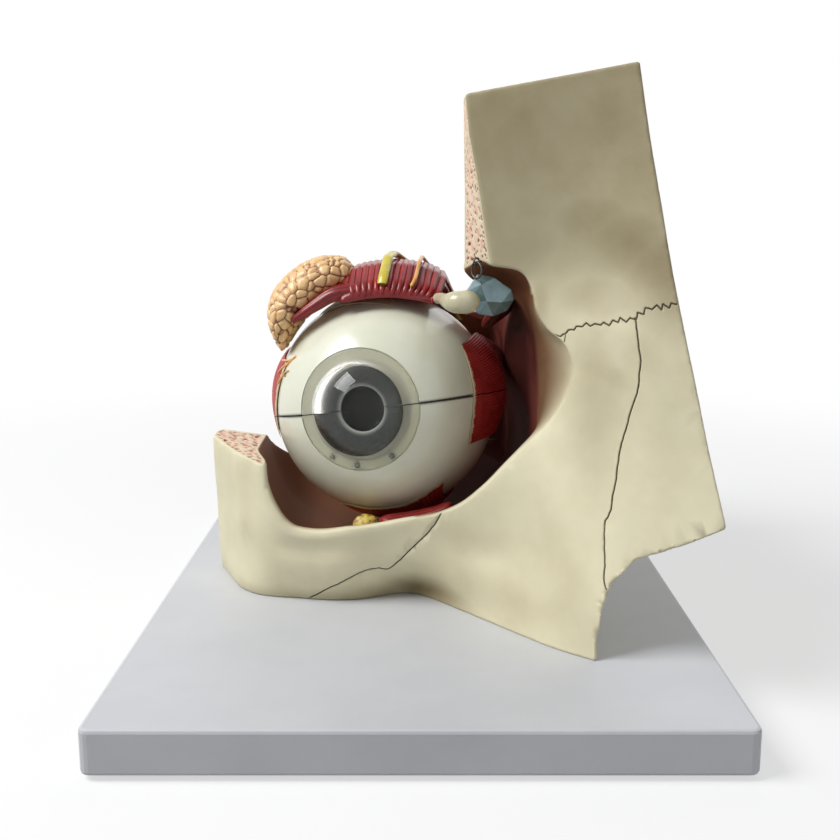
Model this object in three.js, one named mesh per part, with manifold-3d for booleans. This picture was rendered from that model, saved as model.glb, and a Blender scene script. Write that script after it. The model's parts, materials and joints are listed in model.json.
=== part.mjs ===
// Anatomy demonstration model: an eyeball that comes apart, in a cut bony orbit on a board.
// Millimetres, +Z up, the eye looks towards -Y. The origin is the bottom centre of the board's pads.
import * as THREE from 'three';
import Module from 'manifold-3d';
import { mergeVertices } from 'three/addons/utils/BufferGeometryUtils.js';

const wasm = await Module();
wasm.setup();

// Board, pads and screws
const boardWidth = 180;
const boardDepth = 260;
const boardThickness = 13;
const boardCorner = 3;
const boardEdge = 1;
const padRadius = 10;
const padThickness = 1.5;
const padInset = 15;
const screwShankRadius = 2.2;
const screwHeadRadius = 4.2;
const screwHeadHeight = 3;
const screwHeadRecess = 0.8;
const screwBite = 11;
const screwClearance = 0.3;

// Eyeball: shells measured from its centre
const scleraRadius = 40;
const scleraWall = 3.6;
const shellClearance = 0.8;
const choroidWall = 2.2;
const vitreousClearance = 0.9;
const seamGap = 0.36;
const eyeX = -12.6;
const eyeY = 2;
const eyeHeight = 78.6;
const gazeTurn = 13;
const gazeRise = 5.5;
const seamRoll = 8;

// Cornea and its seat in the white shell
const flangeRadius = 20.6;
const flangeThickness = 1.4;
const flangeSeat = 33;
const corneaBaseRadius = 15.6;
const corneaHeight = 44.1;
const corneaWall = 1.6;
const scleraWindow = 17.6;
const corneaPinRadius = 0.8;
const corneaPinLength = 2.6;
const corneaPinCircle = 19;

// Iris, ciliary ring, lens and vitreous
const pupilRadius = 7.7;
const irisRadius = 15.2;
const irisThickness = 1.5;
const irisPlane = 30.2;
const ringFront = 29.8;
const ringBack = 27;
const ringHole = 13;
const ringOuter = 19;
const lensRadius = 12.6;
const lensFront = 29.1;
const lensRim = 24.9;
const lensBack = 19.1;
const lensRimThickness = 1.2;
const vitreousFlat = 18.7;

// Muscles
const fitGap = 0.35;
const splitGap = 0.6;
const rectusThickness = 4.2;
const rectusEdge = 0.8;
const superiorThickness = 2.4;
const medialHalfWidth = 19.5;
const lateralHalfWidth = 15;
const inferiorHalfWidth = 16.5;
const superiorHalfWidth = 15;
const tongueLength = 10;
const lateralTongue = 14;
const apexX = 24;
const apexY = 78;
const apexHeight = 86;
const opticNerveRadius = 5.4;
const opticStubLength = 11;

// Pulley of the superior oblique, its wire ring and the screw eye
const trochleaFront = -33;
const trochleaDepth = 8;
const pulleyTop = 127;
const wireRadius = 0.35;
const ringRadius = 2.65;
const ringY = -31.5;
const ringHeight = pulleyTop + 1.55;
const eyeletRadius = 1.1;
const eyeletStandOff = 2.35;
const eyeletHeight = ringHeight + ringRadius + 0.2;
const eyeletShaftLength = 5;
const eyeletTurn = 35.5;

// Bone
const plateThickness = 13;
const nasalShell = 7;
const canalRadius = 6.8;
const boneBack = 92;
const canalX = 25;
const canalHeight = 86;
const midlineX = 79;
const skullBaseHeight = 131;
const cheekCutHeight = 64.8;

const boardTop = padThickness + boardThickness;
const eyeCentre = new THREE.Vector3(eyeX, eyeY, eyeHeight);
const overBall = (x, y, z) => new THREE.Vector3(x, y, z).add(eyeCentre);
const choroidRadius = scleraRadius - scleraWall - shellClearance;
const vitreousRadius = choroidRadius - choroidWall - vitreousClearance;

const colours = {
  board: [0xcdd0d4, 0.45],
  pad: [0x2b2b2b, 0.9],
  steel: [0xb9bcc0, 0.35],
  bone: [0xd9d2b4, 0.5],
  sclera: [0xe1e4cd, 0.3],
  cornea: [0xdfe6e4, 0.08],
  iris: [0x2c2d30, 0.4],
  choroid: [0x5a2a1c, 0.5],
  lens: [0xe8ecdf, 0.1],
  vitreous: [0xdde8e6, 0.1],
  muscle: [0x8e2024, 0.45],
  tendon: [0xd9d5b8, 0.4],
  gland: [0xcda573, 0.45],
  nerve: [0xc8c83c, 0.45],
  thinNerve: [0xdca046, 0.45],
  trochlea: [0x557d82, 0.4],
};

const group = new THREE.Group();
const eyeGroup = new THREE.Group();
eyeGroup.position.copy(eyeCentre);
const turn = THREE.MathUtils.degToRad;
eyeGroup.rotation.set(-turn(gazeRise), -turn(seamRoll), -turn(gazeTurn), 'ZXY');
eyeGroup.updateMatrix();
group.add(eyeGroup);
const toEye = eyeGroup.matrix.clone().invert();

function node(name, geometry, finish, parent = group) {
  const [colour, roughness] = colours[finish];
  const metalness = finish === 'steel' ? 0.9 : 0;
  const material = new THREE.MeshStandardMaterial({ color: colour, roughness, metalness });
  const mesh = new THREE.Mesh(geometry, material);
  mesh.name = name;
  parent.add(mesh);
  return mesh;
}

// Solid operations

function closedGeometry(points, index) {
  const geometry = new THREE.BufferGeometry();
  geometry.setAttribute('position', new THREE.Float32BufferAttribute(points.flatMap((p) => [p.x, p.y, p.z]), 3));
  let volume = 0;
  for (let i = 0; i < index.length; i += 3) {
    const [a, b, c] = [points[index[i]], points[index[i + 1]], points[index[i + 2]]];
    volume += a.dot(new THREE.Vector3().crossVectors(b, c));
  }
  if (volume < 0) {
    for (let i = 0; i < index.length; i += 3) {
      [index[i + 1], index[i + 2]] = [index[i + 2], index[i + 1]];
    }
  }
  geometry.setIndex(index);
  return geometry;
}

function solidOf(geometry) {
  const bare = geometry.clone();
  bare.deleteAttribute('normal');
  bare.deleteAttribute('uv');
  const merged = mergeVertices(bare, 1e-4);
  return new wasm.Manifold(new wasm.Mesh({
    numProp: 3,
    vertProperties: new Float32Array(merged.attributes.position.array),
    triVerts: new Uint32Array(merged.index.array),
  }));
}

function geometryOf(solid) {
  const mesh = solid.getMesh();
  const geometry = new THREE.BufferGeometry();
  geometry.setAttribute('position', new THREE.BufferAttribute(new Float32Array(mesh.vertProperties), 3));
  geometry.setIndex(new THREE.BufferAttribute(new Uint32Array(mesh.triVerts), 1));
  return geometry;
}

function cut(geometry, ...tools) {
  let solid = solidOf(geometry);
  for (const tool of tools) {
    solid = solid.subtract(solidOf(tool));
  }
  return geometryOf(solid);
}

function keep(geometry, ...limits) {
  let solid = solidOf(geometry);
  for (const limit of limits) {
    solid = solid.intersect(solidOf(limit));
  }
  return geometryOf(solid);
}

function join(geometry, ...others) {
  let solid = solidOf(geometry);
  for (const other of others) {
    solid = solid.add(solidOf(other));
  }
  return geometryOf(solid);
}

// Rings of points joined one to the next. Each end is closed across, from one half of its ring to the other.
function loft(rings) {
  const count = rings[0].length;
  const points = rings.flat();
  const index = [];
  for (let i = 0; i < rings.length - 1; i += 1) {
    for (let j = 0; j < count; j += 1) {
      const a = i * count + j;
      const b = i * count + ((j + 1) % count);
      index.push(a, b, b + count, a, b + count, a + count);
    }
  }
  for (const row of [0, rings.length - 1]) {
    for (let k = 0; k < count / 2 - 1; k += 1) {
      const a = row * count + k;
      const b = row * count + count - 1 - k;
      const quad = row === 0 ? [a, b, b - 1, a, b - 1, a + 1] : [a, b - 1, b, a, a + 1, b - 1];
      index.push(...quad);
    }
  }
  return closedGeometry(points, index);
}

// Two point grids of one size, joined round their borders.
function slabBetween(front, back) {
  const rows = front.length;
  const cols = front[0].length;
  const points = [...front.flat(), ...back.flat()];
  const offset = rows * cols;
  const index = [];
  for (let i = 0; i < rows - 1; i += 1) {
    for (let j = 0; j < cols - 1; j += 1) {
      const a = i * cols + j;
      index.push(a, a + 1, a + cols + 1, a, a + cols + 1, a + cols);
      const b = a + offset;
      index.push(b, b + cols + 1, b + 1, b, b + cols, b + cols + 1);
    }
  }
  const border = [];
  for (let j = 0; j < cols - 1; j += 1) border.push(j);
  for (let i = 0; i < rows - 1; i += 1) border.push(i * cols + cols - 1);
  for (let j = cols - 1; j > 0; j -= 1) border.push((rows - 1) * cols + j);
  for (let i = rows - 1; i > 0; i -= 1) border.push(i * cols);
  border.forEach((a, k) => {
    const b = border[(k + 1) % border.length];
    index.push(a, a + offset, b + offset, a, b + offset, b);
  });
  return closedGeometry(points, index);
}

function box(low, high) {
  const size = high.map((value, k) => value - low[k]);
  return new THREE.BoxGeometry(...size)
    .translate(...low.map((value, k) => value + size[k] / 2));
}

// A prism along one axis from an outline in the other two.
function prism(outline, axis, from, to) {
  const shape = new THREE.Shape(outline.map(([a, b]) => new THREE.Vector2(a, b)));
  const solid = new THREE.ExtrudeGeometry(shape, { depth: to - from, bevelEnabled: false });
  solid.translate(0, 0, from);
  if (axis === 'y') {
    solid.rotateX(Math.PI / 2).scale(1, -1, 1);
    return facingOut(solid);
  }
  return solid;
}

// The same surface with shared corners, no empty triangles, and its faces pointing out.
function facingOut(geometry) {
  const merged = mergeVertices(geometry.deleteAttribute('normal').deleteAttribute('uv'), 1e-4);
  const position = merged.attributes.position;
  const points = Array.from({ length: position.count }, (_, i) => (
    new THREE.Vector3().fromBufferAttribute(position, i)
  ));
  const index = [];
  for (let i = 0; i < merged.index.count; i += 3) {
    const corners = [0, 1, 2].map((k) => merged.index.getX(i + k));
    if (new Set(corners).size === 3) index.push(...corners);
  }
  return closedGeometry(points, index);
}

// The half space on the side that a plane's normal points to, as a large block.
function sideOf(point, normal, size = 400) {
  const block = new THREE.BoxGeometry(size, size, size).translate(0, 0, size / 2);
  const face = new THREE.Quaternion().setFromUnitVectors(new THREE.Vector3(0, 0, 1), normal.clone().normalize());
  return block.applyQuaternion(face).translate(point.x, point.y, point.z);
}

const smooth = (t) => {
  const k = Math.min(1, Math.max(0, t));
  return k * k * (3 - 2 * k);
};

// Smooth surface through named landmarks: a thin plate over the (x, z) plane.
function plateThrough(landmarks) {
  const kernel = (dx, dz) => {
    const square = dx * dx + dz * dz;
    return square === 0 ? 0 : square * Math.log(square);
  };
  const size = landmarks.length + 3;
  const rows = landmarks.map(([x, y, z]) => [
    ...landmarks.map(([px, , pz]) => kernel(x - px, z - pz)), 1, x, z, y,
  ]);
  landmarks.forEach((_, i) => {
    rows[i][i] += surfaceStiffness;
  });
  rows.push([...landmarks.map(() => 1), 0, 0, 0, 0]);
  rows.push([...landmarks.map(([x]) => x), 0, 0, 0, 0]);
  rows.push([...landmarks.map(([, , z]) => z), 0, 0, 0, 0]);
  for (let i = 0; i < size; i += 1) {
    let best = i;
    for (let r = i + 1; r < size; r += 1) {
      if (Math.abs(rows[r][i]) > Math.abs(rows[best][i])) best = r;
    }
    [rows[i], rows[best]] = [rows[best], rows[i]];
    for (let r = 0; r < size; r += 1) {
      if (r !== i) {
        const factor = rows[r][i] / rows[i][i];
        for (let c = i; c <= size; c += 1) rows[r][c] -= factor * rows[i][c];
      }
    }
  }
  const weights = rows.map((row, i) => row[size] / row[i]);
  return (x, z) => landmarks.reduce(
    (sum, [px, , pz], i) => sum + weights[i] * kernel(x - px, z - pz),
    weights[size - 3] + weights[size - 2] * x + weights[size - 1] * z,
  );
}

// Distance from a centre to a closed outline as a smooth function of the angle.
function radiusThrough(outline, [cx, cz]) {
  const knots = outline
    .map(([x, z]) => [Math.atan2(z - cz, x - cx), Math.hypot(x - cx, z - cz)])
    .sort((a, b) => a[0] - b[0]);
  const count = knots.length;
  return (angle) => {
    let k = knots.findIndex(([a]) => a > angle);
    if (k < 0) k = count;
    const at = (i) => {
      const wrap = Math.floor(i / count);
      const [a, r] = knots[i - wrap * count];
      return [a + wrap * 2 * Math.PI, r];
    };
    const [p0, p1, p2, p3] = [at(k - 2), at(k - 1), at(k), at(k + 1)];
    const span = p2[0] - p1[0];
    const t = (angle - p1[0]) / span;
    const m1 = ((p2[1] - p0[1]) / (p2[0] - p0[0])) * span;
    const m2 = ((p3[1] - p1[1]) / (p3[0] - p1[0])) * span;
    const t2 = t * t;
    const t3 = t2 * t;
    return (2 * t3 - 3 * t2 + 1) * p1[1] + (t3 - 2 * t2 + t) * m1 + (-2 * t3 + 3 * t2) * p2[1] + (t3 - t2) * m2;
  };
}

// Board, pads and screws

const boardShape = new THREE.Shape();
const halfWidth = boardWidth / 2 - boardEdge;
const halfDepth = boardDepth / 2 - boardEdge;
const innerCorner = boardCorner - boardEdge;
boardShape.moveTo(-halfWidth + innerCorner, -halfDepth);
boardShape.lineTo(halfWidth - innerCorner, -halfDepth);
boardShape.absarc(halfWidth - innerCorner, -halfDepth + innerCorner, innerCorner, -Math.PI / 2, 0);
boardShape.lineTo(halfWidth, halfDepth - innerCorner);
boardShape.absarc(halfWidth - innerCorner, halfDepth - innerCorner, innerCorner, 0, Math.PI / 2);
boardShape.lineTo(-halfWidth + innerCorner, halfDepth);
boardShape.absarc(-halfWidth + innerCorner, halfDepth - innerCorner, innerCorner, Math.PI / 2, Math.PI);
boardShape.lineTo(-halfWidth, -halfDepth + innerCorner);
boardShape.absarc(-halfWidth + innerCorner, -halfDepth + innerCorner, innerCorner, Math.PI, 1.5 * Math.PI);
const boardBlank = new THREE.ExtrudeGeometry(boardShape, {
  depth: boardThickness - 2 * boardEdge,
  bevelEnabled: true,
  bevelThickness: boardEdge,
  bevelSize: boardEdge,
  bevelSegments: 2,
  curveSegments: 2,
}).translate(0, 0, padThickness + boardEdge);

function upright(radius, from, to, x, y, segments = 20) {
  return new THREE.CylinderGeometry(radius, radius, to - from, segments)
    .rotateX(Math.PI / 2)
    .translate(x, y, (from + to) / 2);
}

const screwPlaces = [[-58, 4], [26, -40], [48, 62]];
const headTop = padThickness + screwHeadRecess + screwHeadHeight;
const headRoom = screwHeadRadius + screwClearance;
const shankRoom = screwShankRadius + screwClearance;
node('base_board', cut(
  boardBlank,
  ...screwPlaces.map(([x, y]) => upright(headRoom, padThickness - 1, headTop + screwClearance, x, y)),
  ...screwPlaces.map(([x, y]) => upright(shankRoom, padThickness, boardTop + 1, x, y)),
), 'board');

[['fl', -1, -1], ['fr', 1, -1], ['rl', -1, 1], ['rr', 1, 1]].forEach(([tag, sx, sy]) => {
  const x = sx * (boardWidth / 2 - padInset);
  const y = sy * (boardDepth / 2 - padInset);
  node(`foot_pad_${tag}`, upright(padRadius, 0, padThickness, x, y, 24), 'pad');
});

screwPlaces.forEach(([x, y], i) => {
  const profile = [
    [0, padThickness + screwHeadRecess], [screwHeadRadius, padThickness + screwHeadRecess],
    [screwHeadRadius, headTop], [screwShankRadius, headTop],
    [screwShankRadius, boardTop + screwBite - 1.5], [0, boardTop + screwBite],
  ].map(([r, z]) => new THREE.Vector2(r, z));
  node(`bone_screw_${i + 1}`, new THREE.LatheGeometry(profile, 16).rotateX(Math.PI / 2).translate(x, y, 0), 'steel');
});

// Bone: the face is a smooth surface through landmarks, cut back to the orbit, the nose and the skull base.

const surfaceStiffness = 40;
const faceLandmarks = [
  // where the cheek and jaw meet the board
  [-74.7, 4.8, boardTop], [-64.5, -19.5, boardTop], [-44.2, -29.1, boardTop], [-19.8, -32.4, boardTop],
  [-3.9, -28.5, boardTop], [10.2, -41.3, boardTop], [26, -57.8, boardTop], [40.3, -74.5, boardTop],
  [53.2, -85.3, boardTop],
  // cheek stub and the rim of the orbit
  [-73, -3, 42], [-72.1, -8, 66], [-62, -26, 42], [-63, -24, 64], [-52.7, -32, 63], [-51, -33, 52],
  [-37.5, -35.5, 40.8], [-15.3, -37.5, 43.5], [6.7, -41, 48.5], [19.5, -47, 58], [30.6, -50, 70.4],
  [41.7, -50.5, 81.9], [48.6, -50, 98], [46.2, -46.5, 106],
  // cheek below the rim, with the hollow beside the nose
  [-30, -36.5, 28], [-2, -35.5, 30], [22, -46.5, 36], [38, -60, 40], [42, -72, 24],
  // side and ridge of the nose, down to its opening
  [60, -63, 100], [60, -68, 78], [56, -75, 55], [53.4, -84, 30], [64.4, -84, 46], [75.9, -88, 51],
  [79, -60, 121], [80, -66, 106], [84, -77, 80], [88.2, -90, 56.7],
  // brow and forehead
  [22.5, -35, 130.4], [36, -36.5, 126], [41, -42.5, 112], [58, -47, 124], [40, -39, 142], [66, -49, 146],
  [17, -34.5, 160], [44, -40, 166], [70, -46, 168], [14.6, -34, 186], [40, -38, 190], [67, -43, 194],
];
const face = plateThrough(faceLandmarks);

const faceLeft = -80;
const faceRight = 96;
const faceColumns = 30;
const faceBottom = boardTop;
const faceTop = 204;
const faceRows = 30;

// The face surface over its whole outline, pushed back by a depth.
function faceGrid(depth, low = faceBottom, high = faceTop) {
  return Array.from({ length: faceRows + 1 }, (_, i) => {
    const z = low + ((high - low) * i) / faceRows;
    return Array.from({ length: faceColumns + 1 }, (__, j) => {
      const x = faceLeft + ((faceRight - faceLeft) * j) / faceColumns;
      return new THREE.Vector3(x, Math.max(face(x, z), -96) + depth, z);
    });
  });
}

function backGrid(y, low = faceBottom, high = faceTop) {
  return faceGrid(0, low, high).map((row) => row.map((p) => new THREE.Vector3(p.x, y, p.z)));
}

const rearMargin = 40;
const boneBlank = slabBetween(faceGrid(0), backGrid(boneBack + rearMargin));
const behindPlate = slabBetween(
  faceGrid(plateThickness, skullBaseHeight, faceTop + 10),
  backGrid(boneBack + 2 * rearMargin, skullBaseHeight, faceTop + 10),
);
const nasalFrom = boardTop - 10;
const nasalTop = 106;
const insideNose = slabBetween(
  faceGrid(nasalShell, nasalFrom, nasalTop),
  backGrid(boneBack + 2 * rearMargin, nasalFrom, nasalTop),
);

// Bone seen from above: cheek, side wall down to the apex, flat back, and room for the midline cut.
const planOutline = [
  [-76, 6], [-71, 20], [-60, 33], [-48, 45], [-29, 62], [-10, 78], [0, boneBack], [120, boneBack],
  [120, -120], [-76, -120],
];

// The midline of the skull leans: the nose side stands further out below.
const midlineLean = 0.155;
const midlineCut = prism([
  [midlineX + midlineLean * (121 - 240), 240], [midlineX + midlineLean * (121 - 50), 50],
  [89.4, 40], [89.4, 0], [140, 0], [140, 240],
], 'y', -130, 200);

// Opening of the nose, seen from the front.
const noseNotch = prism([
  [53.2, 0], [53.2, 21], [54.7, 30.4], [57, 37.5], [64.4, 46], [75.9, 51], [88.2, 56.7], [110, 62], [110, 0],
], 'y', -130, -42);

// The orbit: a mouth along the rim, a wider room behind it, and a taper to the nerve's canal.
const socketCentre = [-8, 82];
const mouthRadius = radiusThrough([
  [48.6, 98], [46.3, 90], [41.7, 81.9], [35.4, 75.3], [30.6, 70.4], [25.9, 65.2], [19.5, 58], [13.2, 52.1],
  [6.6, 48.5], [-6.7, 45.2], [-23.7, 42.2], [-37.5, 40.8], [-43.8, 42.3], [-49.2, 49.1], [-51.9, 56.1],
  [-52.7, 64], [-53, 82], [-50, 112], [-30, 134], [0, 137], [22.5, 130.4], [32.6, 128.2], [35.9, 124.1],
  [37.9, 116], [41, 110.4], [46.2, 105.7],
], socketCentre);
const roomRadius = radiusThrough([
  [39.2, 98], [39.4, 82], [39, 66], [34, 52], [25, 40], [9, 31.5], [-10, 29], [-30, 30.5], [-46, 37],
  [-55, 50], [-57.5, 64], [-58, 82], [-56, 108], [-40, 130], [-8, 131], [14, 125], [27, 121.5], [34.5, 116],
  [38, 108],
], socketCentre);
const lipDepth = 2;
const lipRun = 19;
const roomEnd = 15;
const taperPower = 1.8;

function socketPoint(angle, y, inset = 0) {
  const mouth = mouthRadius(angle);
  const rimX = socketCentre[0] + mouth * Math.cos(angle);
  const rimZ = socketCentre[1] + mouth * Math.sin(angle);
  const rim = face(rimX, Math.min(rimZ, 150));
  const inward = smooth((y - rim - lipDepth) / lipRun);
  const wide = mouth + (roomRadius(angle) - mouth) * inward;
  const taper = Math.min(1, Math.max(0, (y - roomEnd) / (boneBack - 6 - roomEnd))) ** taperPower;
  const cx = socketCentre[0] + (canalX - socketCentre[0]) * taper;
  const cz = socketCentre[1] + (canalHeight - socketCentre[1]) * taper;
  const radius = wide + (canalRadius - wide) * taper - inset;
  return new THREE.Vector3(cx + radius * Math.cos(angle), y, cz + radius * Math.sin(angle));
}

const socketSides = 40;
const socketStations = [-120, -52, -46, -40, -35, -30, -25, -19, -12, 0, 15, 24, 33, 42, 52, 62, 72, 80, 86, 110];
const socketSpace = (inset) => loft(socketStations.map((y) => Array.from({ length: socketSides }, (_, j) => (
  socketPoint(-Math.PI + (2 * Math.PI * (j + 0.5)) / socketSides, y, inset)
))));
const socket = socketSpace(0);
const insideSocket = socketSpace(fitGap);

// Cut faces: the side wall and roof are taken off, so that the eyeball lifts out.
const sideWallCut = prism([
  [-47, -20], [14.5, -21], [20, -14], [26.5, 2], [30, 20], [36, 40], [36, 72], [-47, 72],
], 'z', 50, 300);
const rearWallSlope = sideOf(new THREE.Vector3(-60, 12, cheekCutHeight), new THREE.Vector3(0.1, 0.5, 0.86));
const rearWallCut = keep(rearWallSlope, box([-140, 0, 50], [-40, 72, 300]));
const sideWallFloor = sideOf(new THREE.Vector3(-62, -12, cheekCutHeight), new THREE.Vector3(0.15, -0.02, 1));
const stubTopCut = geometryOf(solidOf(sideWallFloor).intersect(solidOf(box([-140, -60, 40], [-20, 20, 300]))));
// x of the cut on the plate's front and on its back, and the height
const plateEdge = [
  [25.6, 16.2, 120], [24, 16.2, 131], [21.3, 15.8, 146], [18.7, 15.3, 160], [15.9, 14.7, 172], [14.3, 14.3, 186],
  [14.3, 14.3, 210],
];
const plateFrontY = -36.5;
// x of that cut face at a depth and a height
function plateCutX(y, height) {
  const k = plateEdge.findIndex(([, , z]) => z > height);
  const [low, high] = [plateEdge[k - 1], plateEdge[k]];
  const [front, back] = low.map((value, i) => value + ((high[i] - value) * (height - low[2])) / (high[2] - low[2]));
  return front + ((back - front) * (y - plateFrontY)) / plateThickness;
}
const ringX = plateCutX(ringY, eyeletHeight) - eyeletStandOff;
const plateLeftCut = loft([-62, plateFrontY, plateFrontY + plateThickness, -8].map((y) => {
  const share = (y - plateFrontY) / plateThickness;
  const edge = plateEdge.map(([front, back, z]) => new THREE.Vector3(front + (back - front) * share, y, z));
  const outer = plateEdge.map(([, , z]) => new THREE.Vector3(-150, y, z));
  return [...edge, ...outer.reverse()];
}));
const plateTopCut = sideOf(new THREE.Vector3(14.6, -35, 184.4), new THREE.Vector3(-0.165, 0, 1));
const skullBaseCut = box([-140, -8, skullBaseHeight], [140, 160, 300]);
const apexLeftCut = box([-140, 66, 62], [4, 160, 300]);
const apexTopCut = box([-140, 66, 106], [38, 160, 300]);
const nasalCut = keep(insideNose, box([58.5, -130, nasalFrom], [160, 200, nasalTop]));
const eyeletShaft = (grow) => new THREE.CylinderGeometry(
  wireRadius + grow,
  wireRadius + grow,
  eyeletShaftLength + grow,
  8,
)
  .rotateZ(Math.PI / 2)
  .translate(eyeletRadius + (eyeletShaftLength + grow) / 2, 0, 0)
  .rotateZ(turn(eyeletTurn))
  .translate(ringX, ringY, eyeletHeight);
const cheekHollow = new THREE.SphereGeometry(1, 24, 16).scale(46, 50, 40).translate(-42, 78, 4);
const trochleaHollow = new THREE.SphereGeometry(1, 16, 12).scale(11, 7, 8)
  .translate(ringX + 3.4, trochleaFront + 5, pulleyTop - 5);

// Pulley: an outline from its ring's place (x) and down from its top, with bevelled edges
const trochleaX = ringX + 5;
const trochleaOutline = [
  [0.4, 0], [-3, 5.4], [-2.8, 9], [0.9, 13], [5.8, 13.8], [10.4, 12], [12.6, 8.4], [11.8, 5], [6, 1],
];
const trochleaBevel = 1.6;
function trochleaBlock(grow) {
  const corners = trochleaOutline.map(([x, drop]) => new THREE.Vector2(ringX + x, pulleyTop - drop));
  return new THREE.ExtrudeGeometry(new THREE.Shape(corners), {
    depth: trochleaDepth - 2 * trochleaBevel + 2 * grow,
    bevelEnabled: true,
    bevelThickness: trochleaBevel,
    bevelSize: trochleaBevel,
    bevelOffset: grow - trochleaBevel,
    bevelSegments: 1,
  }).rotateX(Math.PI / 2).translate(0, trochleaFront + trochleaDepth - trochleaBevel + grow, 0);
}

const screwPilots = screwPlaces.map(([x, y]) => (
  upright(shankRoom, boardTop - 5, boardTop + screwBite + screwClearance, x, y)
));

node('orbit_bone', cut(
  keep(boneBlank, prism(planOutline, 'z', 0, 240)),
  midlineCut,
  noseNotch,
  keep(behindPlate, box([-140, -80, skullBaseHeight], [140, 300, 300])),
  socket,
  stubTopCut,
  sideWallCut,
  rearWallCut,
  plateLeftCut,
  plateTopCut,
  skullBaseCut,
  apexLeftCut,
  apexTopCut,
  nasalCut,
  cheekHollow,
  trochleaHollow,
  trochleaBlock(fitGap),
  eyeletShaft(fitGap),
  ...screwPilots,
), 'bone');

// Eyeball shells: half profiles (distance from the gaze axis, distance along it), turned and split.

function turned(profile, segments) {
  const points = profile.map(([radius, along]) => new THREE.Vector2(Math.max(radius, 0), -along));
  return facingOut(new THREE.LatheGeometry(points, segments));
}

function arc(radius, centre, fromRadius, toRadius, steps, sign = 1) {
  return Array.from({ length: steps + 1 }, (_, i) => {
    const from = Math.asin(fromRadius / radius);
    const to = Math.asin(toRadius / radius);
    const angle = from + ((to - from) * i) / steps;
    return [radius * Math.sin(angle), centre + sign * radius * Math.cos(angle)];
  });
}

function sweep(radius, fromAlong, toAlong, steps) {
  const from = Math.acos(fromAlong / radius);
  const to = Math.acos(toAlong / radius);
  return Array.from({ length: steps + 1 }, (_, i) => {
    const angle = from + ((to - from) * i) / steps;
    return [radius * Math.sin(angle), radius * Math.cos(angle)];
  });
}

const half = 200;
const aboveSeam = box([-half, -half, seamGap / 2], [half, half, half]);
const belowSeam = box([-half, -half, -half], [half, half, -seamGap / 2]);

const scleraInner = scleraRadius - scleraWall;
const seatRadius = flangeRadius + fitGap;
const scleraProfile = [
  ...sweep(scleraRadius, -scleraRadius, Math.sqrt(scleraRadius ** 2 - seatRadius ** 2), 11),
  [seatRadius, flangeSeat],
  [scleraWindow, flangeSeat],
  ...sweep(scleraInner, Math.sqrt(scleraInner ** 2 - scleraWindow ** 2), -scleraInner, 8),
];
const scleraShell = turned(scleraProfile, 32);

const dowelRadius = 1;
const dowelLength = 5;
const dowelReach = (scleraRadius + scleraInner) / 2;
const dowelPlaces = [-112, -62, 62, 112].map((angle) => [
  dowelReach * Math.sin(turn(angle)), dowelReach * Math.cos(turn(angle)),
]);
const dowelRooms = dowelPlaces.map(([x, y]) => upright(dowelRadius + fitGap, -3.2, 3.2, x, y, 12));

const pinAngles = [-38, -10, 29];
const pinPlaces = pinAngles.map((angle) => [
  corneaPinCircle * Math.sin(turn(angle)), -corneaPinCircle * Math.cos(turn(angle)),
]);
const pinBack = flangeSeat - corneaPinLength / 2;
function gazeRod(radius, back, front, x, z, segments = 12) {
  return new THREE.CylinderGeometry(radius, radius, front - back, segments)
    .translate(x, -(front + back) / 2, z);
}
const pinRooms = pinPlaces.map(([x, z]) => gazeRod(corneaPinRadius + fitGap, pinBack - fitGap, half / 4, x, z));

node('sclera_upper', cut(keep(scleraShell, aboveSeam), ...dowelRooms), 'sclera', eyeGroup);
node('sclera_lower', cut(keep(scleraShell, belowSeam), ...dowelRooms, ...pinRooms), 'sclera', eyeGroup);
dowelPlaces.forEach(([x, y], i) => {
  node(`seam_dowel_${i + 1}`, upright(dowelRadius, -dowelLength / 2, dowelLength / 2, x, y, 10), 'steel', eyeGroup);
});

// Cornea: a dome with a flange that sits in the white shell's seat
const rise = corneaHeight - (flangeSeat + flangeThickness + 2.2);
const domeRadius = (corneaBaseRadius ** 2 + rise ** 2) / (2 * rise);
const domeCentre = corneaHeight - domeRadius;
const innerDome = domeRadius - corneaWall;
const flangeBack = flangeSeat + fitGap;
const flangeHole = Math.sqrt(innerDome ** 2 - (flangeBack - domeCentre) ** 2);
const corneaProfile = [
  ...arc(innerDome, domeCentre, 0, flangeHole, 4),
  [flangeRadius, flangeBack],
  [flangeRadius, flangeSeat + flangeThickness],
  ...arc(domeRadius, domeCentre, corneaBaseRadius, 0, 5),
];
const corneaShell = turned(corneaProfile, 32);
node('cornea_upper', keep(corneaShell, aboveSeam), 'cornea', eyeGroup);
node('cornea_lower', cut(keep(corneaShell, belowSeam), ...pinRooms), 'cornea', eyeGroup);
pinPlaces.forEach(([x, z], i) => {
  const front = flangeSeat + flangeThickness + 0.6;
  node(`cornea_pin_${i + 1}`, gazeRod(corneaPinRadius, pinBack, front, x, z), 'steel', eyeGroup);
});

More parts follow.
